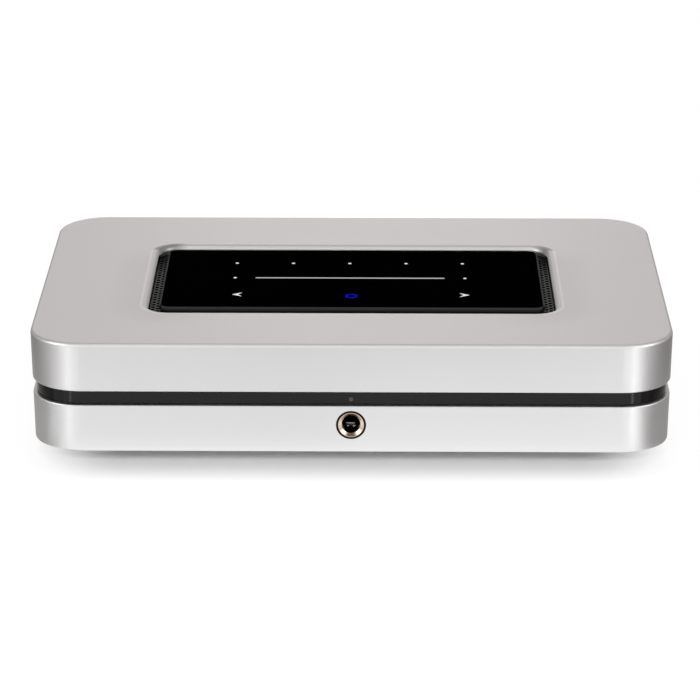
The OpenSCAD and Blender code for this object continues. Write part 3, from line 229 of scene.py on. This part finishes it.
def reach(tree, u, v):
    """Output that is the distance of u, v from the origin."""
    return joined(tree, "SQRT", squares(tree, u, v))


def put_between(finish, group, *ways):
    """Puts a node group between a finish's skin and its shader. Each way is a socket of the
    shader and the name that the group has for it."""
    tree = finish.node_tree
    sockets = tree.nodes["Principled BSDF"].inputs
    step = tree.nodes.new("ShaderNodeGroup")
    step.node_tree = group
    for socket, way in ways:
        tree.links.new(sockets[socket].links[0].from_socket, step.inputs[way])
        tree.links.new(step.outputs[way], sockets[socket])
    return finish


def toned(finish, name, share):
    """A finish with its colour scaled by a share of place: share gets a node group and the place
    on the object, and gives the output to scale by."""
    group, given, out = new_group(name, (("Colour", "Color"),), (("Colour", "Color"),))
    tint = scaled(group, given["Colour"], share(group, object_place(group)))
    group.links.new(tint, out["Colour"])
    return put_between(finish, group, ("Base Color", "Colour"))


def painted_gap_shade(group, place):
    """Painted shade of the gap round the bushing: by the distance from the bore's axis,
    the colour is eased to almost nothing at the rim.
    """
    out = reach(group, place["X"], joined(group, "SUBTRACT", place["Z"], bore_z))
    return ramp(group, out, gap_shade_start, gap_shade_full, 1.0, gap_shade_tone)


dress(toned(skin("bushing_nickel", (0.66, 0.53, 0.44), 0.14, metal=1.0, drift=0.06, spread=0.08,
                 grain=1400.0, bump=0.03), "bushing_painted_gap_shade", painted_gap_shade), "headphone_bushing")
dress(skin("socket_black", (0.012, 0.012, 0.013), 0.42, drift=0.2), "headphone_body")
dress(skin("contact_plate", (0.62, 0.60, 0.57), 0.2, metal=1.0, drift=0.1), "headphone_springs")


def shaped(name, points, faces):
    """A mesh of the given points and faces, put into the scene under the given name."""
    mesh = bpy.data.meshes.new(name)
    mesh.from_pydata(np.asarray(points, float).tolist(), [], faces)
    mesh.update()
    piece = bpy.data.objects.new(name, mesh)
    bpy.context.scene.collection.objects.link(piece)
    return piece


def sprung_leaves(name, leaves, thick=0.0001, count=25):
    """Small contact leaves that stand up from the bore's foot. Each is a steep arch in y and z,
    with the height going as the root of the sine of the turn. The arch and a smaller one inside
    it bound the leaf, which is drawn out straight across x and closed at both ends."""
    turn = np.linspace(0.0, np.pi, count)
    rise = np.sqrt(np.sin(turn).clip(0))
    loop = np.arange(2 * count)
    onward = np.roll(loop, -1)
    step = np.arange(count - 1)
    wall = np.column_stack([loop, loop + 2 * count, onward + 2 * count, onward])
    end = np.column_stack([step, step + 1, 2 * count - 2 - step, 2 * count - 1 - step])
    leaf = np.concatenate([wall, end, end[:, ::-1] + 2 * count])
    points, faces = [], []
    for number, (x, y, foot, wide, deep, high) in enumerate(leaves):
        outer = np.column_stack([y - deep / 2 * np.cos(turn), foot + high * rise])
        inner = np.column_stack([y - (deep / 2 - thick) * np.cos(turn),
                                 foot + (high - thick) * rise])
        edge = np.concatenate([outer, inner[::-1]])
        for hand in (-1, 1):
            points.append(np.column_stack([np.full(2 * count, x + hand * wide / 2), edge]))
        faces.append(leaf + 4 * count * number)
    return shaped(name, np.concatenate(points), np.concatenate(faces).tolist())


# The long leaf stands behind the bushing, the two short ones at its inner end. A row gives the
# middle in x and y, the foot's height, and the leaf's width, depth and height.
leaf_foot = bore_z - 0.0034
short_foot = leaf_foot + 0.0003
long_y, short_y = bush_high.y + 0.0030, bush_high.y + 0.0002
plug_leaves = sprung_leaves("plug_leaves", [
    (-0.0002, long_y, leaf_foot, 0.0030, 0.0012, 0.0008),
    (-0.0016, short_y, short_foot, 0.0016, 0.0008, 0.0004),
    (0.0014, short_y, short_foot, 0.0015, 0.0008, 0.0004)])
plug_leaves.data.materials.append(skin("leaf_dull", (0.45, 0.45, 0.45), 0.34, metal=1.0, drift=0.2))
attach(plug_leaves, "chassis")


# Band between the shells
# One moulded ring of black plastic with a fine satin skin, set back from both shells. A small
# round window in its front shows the status light.

dress(skin("band_black", (0.0026, 0.0024, 0.0025), 0.13, drift=0.15, spread=0.04, grain=2200.0,
           bump=0.03, fixed=(("Specular IOR Level", 0.29),)), "mid_frame")
dress(skin("window_smoke", (0.040, 0.040, 0.042), 0.24, drift=0.1), "status_window")
dress(skin("lamp_clear", (0.72, 0.74, 0.74), 0.2, drift=0.05), "status_light")


# Rear panel and its sockets
# At the back of a deep bay with a moulded frame: a moulded plate for the mains inlet, and two
# pressed steel plates, powder coated black, for the network, USB, video, optical and phono
# sockets and the small jacks.

dress(skin("powder_black", (0.017, 0.017, 0.018), 0.58, drift=0.25, spread=0.15, grain=1500.0,
           bump=0.35), "data_plate", "audio_plate")
dress(skin("bay_black", (0.020, 0.020, 0.021), 0.50, drift=0.2, spread=0.1, grain=2000.0, bump=0.2),
      "bay_frame", "mains_plate")
dress(skin("inlet_black", (0.014, 0.014, 0.015), 0.40, drift=0.2), "mains_inlet", "network_socket",
      "phono_block", "optical_housing", "mini_jacks")
dress(skin("tin_plate", (0.74, 0.74, 0.73), 0.28, metal=1.0, drift=0.1), "mains_pins",
      "usb_shell", "hdmi_shell")
dress(skin("contact_gold", (0.83, 0.62, 0.26), 0.22, metal=1.0, drift=0.1), "network_contacts",
      "phono_contacts")
dress(skin("light_pipe", (0.30, 0.52, 0.22), 0.25, drift=0.1), "network_lights")
dress(skin("tongue_plastic", (0.035, 0.035, 0.038), 0.40, drift=0.2), "usb_tongue", "hdmi_tongue")
dress(skin("shutter_black", (0.020, 0.020, 0.021), 0.36, drift=0.2), "optical_shutter")
dress(skin("emitter_red", (0.45, 0.02, 0.015), 0.2, drift=0.1), "optical_emitter")
dress(skin("barrel_gold", (0.85, 0.64, 0.30), 0.18, metal=1.0, drift=0.08), "phono_barrels")
dress(skin("insert_white", (0.78, 0.78, 0.76), 0.38, drift=0.06), "phono_inserts_white")
dress(skin("insert_red", (0.55, 0.02, 0.018), 0.38, drift=0.08), "phono_insert_red")
dress(skin("insert_orange", (0.72, 0.20, 0.015), 0.38, drift=0.08), "phono_insert_orange")


# Upper shell
# The lid is cast, blasted and sprayed as the lower shell is. A wide shallow well with a rolled
# lip is left in its top for the touch panel. On and around the lip, the lid's finish carries a
# painted highlight and painted shade.

lid_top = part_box("top_shell")[1].z
glass_low, glass_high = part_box("touch_glass")
panel_y = (glass_low.y + glass_high.y) / 2
trough_side, trough_end = 0.0038, 0.0045
well_x = glass_high.x + trough_side
well_y = glass_high.y - panel_y + trough_end
well_corner, lip_wide = 0.0076, 0.00245


def lip_bevel_painted_light_group():
    """Node group of the well's lip. The distance beyond the well is that from a rectangle with
    round corners. At the two sides and front corners the normal is turned up within the lip's
    width, as on a flat bevel. A painted highlight makes a fine bright line where the bevel
    starts, and painted shade takes the wall under it almost to black. There is also painted shade
    on the lip, easing off outward, and on the rear corners as far as the lip goes, the left one
    further in. A soft painted shade fades out over the roof to both sides of the well."""
    # Tones of the painted highlight and the painted shades, as shares of the lid's colour.
    bevel, painted_highlight = 0.8, 0.16
    wall_painted_shade, lip_painted_shade_inner, lip_painted_shade_outer, corner_painted_shade, roof_painted_shade = 0.97, 0.34, 0.05, 0.48, 0.075
    side_stop, side_end = well_y - 0.006, well_y - 0.003
    left_lean = 0.005
    ways = (("Colour", "Color"), ("Normal", "Vector"))
    group, given, out = new_group("well_lip_painted_light", ways, ways)
    link = group.links.new

    def ease(value, start, stop, first, last):
        """A ramp in this group."""
        return ramp(group, value, start, stop, first, last)

    def less(first, second):
        """The first less the second."""
        return joined(group, "SUBTRACT", first, second)

    def times(first, second, more=0.0):
        """The first times the second, and more added."""
        return joined(group, "MULTIPLY_ADD", first, second, more)

    place = object_place(group)
    across = joined(group, "ABSOLUTE", place["X"])
    back = less(place["Y"], panel_y)
    u = less(across, well_x - well_corner)
    v = less(joined(group, "ABSOLUTE", back), well_y - well_corner)
    u, v = (joined(group, "MAXIMUM", part, 0.0) for part in (u, v))
    beyond = less(reach(group, u, v), well_corner)

    side = times(ease(back, side_stop, side_end, 1.0, 0.0),
                 ease(across, well_x - 0.007, well_x - 0.002, 0.0, 1.0))
    high = times(side, ease(place["Z"], lid_top - 0.0021, lid_top - 0.0018, 0.0, 1.0))
    near = times(high, ease(beyond, lip_wide - 0.0001, lip_wide, 1.0, 0.0))
    lift, turned, even = (group.nodes.new("ShaderNode" + kind)
                          for kind in ("CombineXYZ", "VectorMath", "VectorMath"))
    turned.operation, even.operation = "ADD", "NORMALIZE"
    link(times(near, bevel), lift.inputs["Z"])
    link(given["Normal"], turned.inputs[0])
    link(lift.outputs[0], turned.inputs[1])
    link(turned.outputs[0], even.inputs[0])
    link(even.outputs[0], out["Normal"])

    # The colour's share is 1, plus the painted highlight line where the bevel starts, less painted shade
    # on the wall, the rear corners, the roof beside the well and the lip.
    wall = times(less(side, high), ease(beyond, 0.0002, 0.0004, wall_painted_shade, 0.0))
    rear = times(ease(back, side_stop, side_end, 0.0, 1.0),
                 ease(beyond, lip_wide, lip_wide + 0.0004, 1.0, 0.0))
    lean = times(joined(group, "LESS_THAN", place["X"], 0.0), left_lean, across)
    around = times(ease(back, well_y - 0.022, well_y, 1.0, 0.0),
                   ease(across, well_x - 0.028, well_x, 0.0, 1.0))
    dark = times(rear, ease(lean, well_x - 0.006, well_x, 0.0, corner_painted_shade), wall)
    dark = times(around, ease(beyond, lip_wide, lip_wide + 0.016, roof_painted_shade, 0.0), dark)
    dark = times(near, ease(beyond, 0.0, 0.0018, lip_painted_shade_inner, lip_painted_shade_outer), dark)
    off = joined(group, "ABSOLUTE", less(beyond, lip_wide))
    line = times(high, ease(off, 0.0001, 0.0006, painted_highlight, 0.0))
    share = joined(group, "ADD", less(line, dark), 1.0)
    link(scaled(group, given["Colour"], share), out["Colour"])
    return group


# The lid's silver carries the lip group: the bevel's turned normal, and painted highlight and painted
# shade round the well.
lid_silver_painted_light = silver.copy()
lid_silver_painted_light.name = "silver_lid_painted_light"
put_between(lid_silver_painted_light, lip_bevel_painted_light_group(), ("Base Color", "Colour"), ("Normal", "Normal"))
dress(lid_silver_painted_light, "top_shell")


# Touch panel carrier and vents
# A black moulded tray closes the well from below and carries the glass on a plinth. A strip of
# dark perforated metal at each end lets warm air out.

dress(skin("carrier_black", (0.006, 0.006, 0.0063), 0.50, drift=0.2,
           fixed=(("Specular IOR Level", 0.1),)), "touch_carrier")

strip_low, strip_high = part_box("vent_strip_right")
strip_x, strip_y = (strip_low.x + strip_high.x) / 2, (strip_low.y + strip_high.y) / 2


def holes_and_painted_shade(group, place, apart=0.0016, pitch=0.00275, wide=0.00075, deep=0.00100):
    """Three columns of holes, the middle one half a pitch along. A hole is where the squares of
    (across / wide) and (along / deep), from the nearest hole's middle, add up to less than 1.
    There the colour goes almost to black. Past the outer column, where the strip runs in under the
    lid, painted shade takes it almost to black too, and painted shade darkens it at the inner edge
    and towards the rear end."""
    outward = joined(group, "SUBTRACT", joined(group, "ABSOLUTE", place["X"]), strip_x)
    across = joined(group, "ABSOLUTE", outward)
    along = joined(group, "PINGPONG", joined(group, "SUBTRACT", place["Y"], strip_y), pitch / 2)
    spans = []
    for u, v in ((joined(group, "SUBTRACT", across, apart), along),
                 (across, joined(group, "SUBTRACT", pitch / 2, along))):
        spans.append(squares(group, joined(group, "DIVIDE", u, wide),
                             joined(group, "DIVIDE", v, deep)))
    web = ramp(group, joined(group, "MINIMUM", *spans), 0.95, 1.15, 0.02, 1.0)
    # Painted shade: past the outer column, at the inner edge and towards the rear end.
    for way, start, stop, first, last in (
            (outward, 0.0009, 0.0013, 1.0, 0.03),
            (outward, -0.0024, -0.0021, 0.5, 1.0),
            (place["Y"], strip_y + 0.008, strip_y + 0.031, 1.0, 0.14)):
        web = joined(group, "MULTIPLY", web, ramp(group, way, start, stop, first, last))
    return web


dress(toned(skin("vent_grey", (0.046, 0.046, 0.046), 0.50, drift=0.15,
                 fixed=(("Specular IOR Level", 0.05),)), "strip_holes_painted_shade", holes_and_painted_shade),
      "vent_strip_left", "vent_strip_right")


# Touch glass and its lit marks
# A plate of black backed glass with ground edges. The marks are clear places in the backing
# with lights under them: five presets, a volume slide with a dot at each end, two keys, a ring.

def edge_share(group, place, end_tone=0.2, face_tone=0.008):
    """Full colour on the front's ground edge, less at the ends and almost none on the face."""
    ends = ramp(group, joined(group, "ABSOLUTE", place["X"]),
                glass_high.x - 0.0012, glass_high.x - 0.0008, 1.0, end_tone)
    face = ramp(group, place["Z"], glass_high.z - 0.00006, glass_high.z - 0.00003, 1.0, face_tone)
    return joined(group, "MULTIPLY", ends, face)


dress(toned(skin("glass_black", (0.026, 0.026, 0.026), 0.045, drift=0.1, spread=0.03, grain=60.0,
                 bump=0.0, fixed=(("Specular IOR Level", 0.015),)), "ground_edges", edge_share),
      "touch_glass")


def lit(name, glow):
    """Material of a lit mark: a slow noise lets the glow fall off a little over the mark."""
    made, tree, sockets = blank(name)
    surface = placed_skin(tree, glow, 0.3, drift=0.15, spread=0.0, grain=900.0)
    tree.links.new(surface["Colour"], sockets["Emission Color"])
    for socket, value in (("Base Color", (0.002, 0.002, 0.002, 1.0)), ("Roughness", 0.045),
                          ("Emission Strength", 1.0)):
        sockets[socket].default_value = value
    return made


def plate_of(name, outlines, low, high, inset=0.96, bevel=0.00001):
    """A set of thin plates: each outline, given anticlockwise, is carried up from low to high in
    three rings with a small bevel, and closed by fans to its centre. The centre is the mean of
    the middles of the triangles that the sides make with the origin, weighed by their area."""
    points, faces, start = [], [], 0
    for ring in outlines:
        onward = np.roll(ring, -1, axis=0)
        area = ring[:, 0] * onward[:, 1] - onward[:, 0] * ring[:, 1]
        centre = ((ring + onward) * area[:, None]).sum(axis=0) / (3 * area.sum())
        count = len(ring)
        rows = [(ring, low), (ring, high - bevel), (centre + (ring - centre) * inset, high)]
        flat = np.concatenate([np.column_stack([row, np.full(count, z)]) for row, z in rows]
                              + [np.array([[*centre, high], [*centre, low]])])
        here = np.arange(count)
        after = np.roll(here, -1)
        wall = np.column_stack([here, after, after + count, here + count])
        top = np.column_stack([here + 2 * count, after + 2 * count, np.full(count, 3 * count)])
        under = np.column_stack([after, here, np.full(count, 3 * count + 1)])
        for part in (wall, wall + count, top, under):
            faces += (part + start).tolist()
        points.append(flat)
        start += len(flat)
    return shaped(name, np.concatenate(points), faces)


def round_mark(x, y, across, count=28):
    """Outline of a round light: a circle of the given width about x, y."""
    turn = np.linspace(0, 2 * np.pi, count, endpoint=False)
    return np.column_stack([x + across / 2 * np.cos(turn), y + across / 2 * np.sin(turn)])


def long_mark(x, y, length, wide, count=14):
    """Outline of a slot with round ends: two half circles joined by straight sides."""
    turn = np.linspace(-np.pi / 2, np.pi / 2, count)
    half = length / 2 - wide / 2
    right = np.column_stack([half + wide / 2 * np.cos(turn), wide / 2 * np.sin(turn)])
    return np.concatenate([right, -right]) + (x, y)


def key_mark(hand, x, y, tip=0.0418, wing=0.0384, notch=0.0398, half=0.0021):
    """Outline of a key's arrow head: its tip, a wing, the notch and the other wing, out to the
    left (hand -1) or right (1) of x, and turned round at the right to stay anticlockwise."""
    outward = np.array([tip, wing, notch, wing])
    along = np.array([0.0, -half, 0.0, half])
    return np.column_stack([x + hand * outward, y + along])[::-hand]


mark_low, mark_high = glass_high.z - 0.00005, glass_high.z + 0.00006
white_glow = lit("white_glow", (0.84, 0.83, 0.81))
slide_glow = lit("slide_glow", (0.50, 0.50, 0.49))
blue_glow = lit("blue_glow", (0.0080, 0.0010, 0.72))
dot_wide = 0.0012
preset_x, preset_y, preset_pitch = -0.0011, panel_y + 0.0169, 0.0204
slide_x, slide_long, slide_wide, slide_reach = -0.0009, 0.0677, 0.0009, 0.0411
key_x, key_y = -0.0005, panel_y - 0.0188
marks = [
    ("preset_lights", white_glow,
     [round_mark(preset_x + i * preset_pitch, preset_y, dot_wide) for i in range(-2, 3)]),
    ("slide_light", slide_glow, [long_mark(slide_x, panel_y, slide_long, slide_wide)]),
    ("slide_end_lights", white_glow,
     [round_mark(slide_x + hand * slide_reach, panel_y, dot_wide) for hand in (-1, 1)]),
    ("key_lights", white_glow, [key_mark(hand, key_x, key_y) for hand in (-1, 1)]),
]
for name, glow, outlines in marks:
    piece = plate_of(name, outlines, mark_low, mark_high)
    piece.data.materials.append(glow)
    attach(piece, "chassis")


def ring_piece(name, x, y, across, stroke, low, high, count=48):
    """A flat ring: a four-point profile, in radius and height, carried round the centre."""
    turn = np.linspace(0, 2 * np.pi, count, endpoint=False)
    radius = np.array([across / 2, across / 2, across / 2 - stroke, across / 2 - stroke])
    height = np.array([low, high, high, low])
    points = np.stack([x + np.cos(turn)[:, None] * radius, y + np.sin(turn)[:, None] * radius,
                       np.broadcast_to(height, (count, 4))], axis=-1).reshape(-1, 3)
    i, j = np.meshgrid(np.arange(count), np.arange(4), indexing="ij")
    i2, j2 = (i + 1) % count, (j + 1) % 4
    faces = np.stack([i * 4 + j, i2 * 4 + j, i2 * 4 + j2, i * 4 + j2], axis=-1).reshape(-1, 4)
    return shaped(name, points, faces.tolist())


ring_x, ring_y, ring_wide, ring_stroke = -0.0003, panel_y - 0.0202, 0.0043, 0.0006
ring_light = ring_piece("ring_light", ring_x, ring_y, ring_wide, ring_stroke, mark_low, mark_high)
ring_light.data.materials.append(blue_glow)
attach(ring_light, "chassis")


# Screws
# Steel screws with flat heads: four long ones hold the shells together from below, short ones
# hold the boards, the carrier and the phono block.

dress(skin("screw_steel", (0.46, 0.46, 0.47), 0.30, metal=1.0, drift=0.15), "board_screws",
      "carrier_screws")
dress(skin("screw_black", (0.05, 0.05, 0.052), 0.34, metal=0.8, drift=0.15), "case_screws",
      "panel_screw")


# Studio
# A pale floor with no edge in sight, clear from below, under two wide soft lamps, and a tent of
# grey and white cards that only glossy surfaces see. The camera stands where the picture was taken.

def flat_sheet(name, corners):
    """A flat sheet of the four given corners."""
    sheet = shaped(name, corners, [(0, 1, 2, 3)])
    return sheet


def lying(z, *points):
    """Corners of a level sheet: the given points in x and y, all at the height z."""
    return [(x, y, z) for x, y in points]


def straight(tree):
    """Light path outputs, and an output that is 1 until a ray has met a matt surface."""
    rays = tree.nodes.new("ShaderNodeLightPath").outputs
    return rays, joined(tree, "LESS_THAN", rays["Diffuse Depth"], 0.5)


def seen_white(tree, by_camera, by_gloss):
    """Node output that is by_camera for camera rays, by_gloss for glossy and transmission rays
    straight from there, and nothing for the light that falls on the object and the floor. A
    share is a number or another node's output."""
    rays, first = straight(tree)
    total = 0.0
    for ray, share in (("Is Camera Ray", by_camera), ("Is Glossy Ray", by_gloss),
                       ("Is Transmission Ray", by_gloss)):
        total = joined(tree, "MULTIPLY_ADD", rays[ray], share, total)
    return joined(tree, "MULTIPLY", total, first)


# The floor is matt paper close to the object, where its shadow falls, and plain white further out.
# From near the object's left and right ends outward, the white share rises as well: white painted
# over the object's shadow there.
floor_half, floor_tone, floor_shine = 8.0, 0.95, 0.85
shadow_white, side_painted_white = 0.12, 0.95
floor = flat_sheet("studio_floor", lying(0.0, (-floor_half, -floor_half), (floor_half, -floor_half),
                                         (floor_half, floor_half), (-floor_half, floor_half)))
paper = bpy.data.materials.new("studio_paper")
paper.use_nodes = True
tree = paper.node_tree
tree.nodes.clear()
end, matt, white, mix, facing, clear, under = (
    tree.nodes.new("ShaderNode" + kind) for kind in (
        "OutputMaterial", "BsdfDiffuse", "Emission", "MixShader", "NewGeometry",
        "BsdfTransparent", "MixShader"))
matt.inputs["Color"].default_value = (floor_tone, floor_tone, floor_tone, 1.0)
spot = object_place(tree)
far = ramp(tree, reach(tree, spot["X"], spot["Y"]), 0.12, 0.30, shadow_white, 1.0)
side_shadow_painted_white = ramp(tree, joined(tree, "ABSOLUTE", spot["X"]), 0.078, 0.116, shadow_white, side_painted_white)
seen = seen_white(tree, joined(tree, "MAXIMUM", far, side_shadow_painted_white), floor_shine)
for output, socket in (
        (seen, mix.inputs["Fac"]), (matt.outputs[0], mix.inputs[1]), (white.outputs[0], mix.inputs[2]),
        (facing.outputs["Backfacing"], under.inputs["Fac"]), (mix.outputs[0], under.inputs[1]),
        (clear.outputs[0], under.inputs[2]), (under.outputs[0], end.inputs["Surface"])):
    tree.links.new(output, socket)
floor.data.materials.append(paper)

# The air is white to look at, and lights the object with less.
air_light = 0.40
world = bpy.data.worlds.new("studio_air")
bpy.context.scene.world = world
world.use_nodes = True
tree = world.node_tree
air = tree.nodes["Background"].inputs
air["Color"].default_value = (1.0, 1.0, 1.0, 1.0)
tree.links.new(joined(tree, "MULTIPLY_ADD", seen_white(tree, 1.0, 1.0), 1.0 - air_light, air_light),
               air["Strength"])

# Each card has a tint, plain or warm, a tone that it shines with, and its corners.
plain, warm = (1.0, 1.0, 1.0, 1.0), (1.0, 0.955, 0.945, 1.0)


def drawn_across(half, y0, z0, y1, z1):
    """Corners of a straight edge from y0, z0 to y1, z1, drawn out by half to both sides in x."""
    return [(-half, y0, z0), (half, y0, z0), (half, y1, z1), (-half, y1, z1)]


def upright(first, second, low, high):
    """Corners of a wall that stands over two points in x and y, from low to high."""
    return [(*first, low), (*second, low), (*second, high), (*first, high)]


def side_cards(hand, side, wide):
    """The cards of one side. Their sizes are those of the right side (side 1), turned over for
    the left (-1); wide is the breadth of the bright strip at the corner's foot."""
    corner, beside = (0.106, -0.074), (0.110, -0.074)
    strip = lying(0.0015, (0.103 - wide / 4, -0.081), (0.103 + wide / 4, -0.081),
                  (0.195 + 6 * wide, -0.248 + 3 * wide), (0.195 - 6 * wide, -0.248 - 3 * wide))
    rows = (
        ("wall", warm, 0.45, upright((0.6, 1.2), (0.6, -0.1), 0.0, 1.1)),
        ("strip", plain, 3.7 + 0.5 * side, strip),
        ("glint", plain, 3.3, upright((0.60, -0.56), (0.90, -0.31), 0.20, 0.72)),
        ("edge", plain, 0.06, lying(0.0016, (0.18, 0.45), (0.5, 0.45), (0.6, 1.1), (0.25, 1.1))),
        ("low", plain, 0.10, upright((0.25, 1.15), (1.2, 1.15), 0.0, 0.07)),
        ("fade", warm, 0.50 - 0.09 * side,
         lying(0.001, corner, (0.50, -0.39), (0.60, -0.27), (0.60, -0.15))),
        ("shade", warm, 0.298 - 0.065 * side,
         lying(0.001, corner, (0.60, -0.15), (0.65, -0.02), (0.60, 0.10))),
        ("dark", warm, 0.21 - 0.02 * side,
         lying(0.001, beside, (0.60, 0.10), (0.6, 1.2), (beside[0], 1.2))),
        ("skirt", warm, 0.38 - 0.03 * side,
         lying(0.0013, beside, (0.165, -0.060), (0.165, 0.30), (beside[0], 0.30))))
    return [(f"card_{part}_{hand}", tint, tone, [(side * x, y, z) for x, y, z in corners])
            for part, tint, tone, corners in rows]


cards = [
    ("card_black", plain, 0.0, drawn_across(0.15, 0.8, 0.262, 0.8, 0.356)),
    ("card_rear", warm, 0.71, drawn_across(1.2, 1.2, 0.0, 1.2, 1.0)),
    ("card_rear_mid", warm, 1.43, drawn_across(0.16, 1.1, 0.0, 1.1, 0.62)),
    ("card_dim", plain, 0.15, drawn_across(0.6, -0.9, 1.02, -0.62, 1.15)),
    ("card_foot", plain, 1.25, drawn_across(0.1, -0.083, 0.002, -0.0735, 0.002)),
    ("card_roof", warm, 0.52, drawn_across(1.2, -0.05, 1.2, 1.2, 1.0)),
    ("card_sky", warm, 1.17, drawn_across(0.9, -1.0, 0.12, -0.9, 1.0)),
    ("card_near_left", plain, 1.00,
     lying(0.001, (-0.105, -0.074), (-0.115, -0.15), (0.0, -0.15), (0.0, -0.074))),
    ("card_near_right", plain, 1.07,
     lying(0.001, (0.0, -0.074), (0.0, -0.15), (0.115, -0.15), (0.105, -0.074))),
    ("card_heel", plain, 0.80,
     lying(0.0018, (-0.112, -0.080), (-0.150, -0.118), (-0.168, -0.085), (-0.120, -0.068))),
    ("card_front", plain, 0.71,
     lying(0.001, (-0.12, -0.17), (-0.3, -0.9), (0.3, -0.9), (0.12, -0.17))),
]
for name, tint, tone, corners in cards + side_cards("left", -1, 0.0010) + side_cards("right", 1, 0.0012):
    card = flat_sheet(name, corners)
    grey, tree, sockets = blank(name)
    for socket, value in (("Base Color", (0.0, 0.0, 0.0, 1.0)), ("Specular IOR Level", 0.0),
                          ("Emission Color", tint)):
        sockets[socket].default_value = value
    tree.links.new(joined(tree, "MULTIPLY", straight(tree)[1], tone), sockets["Emission Strength"])
    card.data.materials.append(grey)
    card.visible_camera = card.visible_diffuse = False
    card.visible_shadow = card.visible_transmission = False

# Two lamps: width, depth, power, place, and the turn about x from straight down.
for name, wide, deep, power, place, turn in (
        ("lamp_top", 1.2, 0.7, 17.0, (0.0, 0.26, 1.5), -9.8),
        ("lamp_front", 1.8, 0.5, 14.0, (0.0, -1.25, 0.85), 55.8)):
    glow = bpy.data.lights.new(name, "AREA")
    glow.shape = "RECTANGLE"
    glow.size, glow.size_y, glow.energy = wide, deep, power
    lamp = bpy.data.objects.new(name, glow)
    bpy.context.scene.collection.objects.link(lamp)
    lamp.matrix_world = Matrix.Translation(place) @ Matrix.Rotation(math.radians(turn), 4, "X")
    lamp.visible_glossy = False


def about_z(turn):
    """Turn about z, as a matrix."""
    return np.array([[math.cos(turn), -math.sin(turn), 0], [math.sin(turn), math.cos(turn), 0],
                     [0, 0, 1]])


# The camera's axes are the rows of the turns of its yaw, tilt and roll. It stands across, up and
# back by these distances along them from the middle of the lower shell's foot.
tilt, yaw, roll = math.radians(19.48), math.radians(-0.403), math.radians(-0.055)
stand_off, shell_foot = np.array([-0.00087, 0.01071, 1.2004]), (0, 0, 0.005)
tilted = np.array([[1, 0, 0], [0, math.sin(tilt), math.cos(tilt)],
                   [0, -math.cos(tilt), math.sin(tilt)]])
axes = about_z(roll) @ tilted @ about_z(yaw)
lens = bpy.data.cameras.new("studio_camera")
lens.sensor_fit = "HORIZONTAL"
lens.sensor_width, lens.lens = 36.0, 170.52
lens.clip_start, lens.clip_end = 0.01, 50.0
camera = bpy.data.objects.new("studio_camera", lens)
bpy.context.scene.collection.objects.link(camera)
stand = np.eye(4)
stand[:3, :3] = axes.T
stand[:3, 3] = axes.T @ stand_off + shell_foot
camera.matrix_world = Matrix(stand.tolist())
bpy.context.scene.camera = camera
bpy.context.scene.view_settings.view_transform = "Standard"
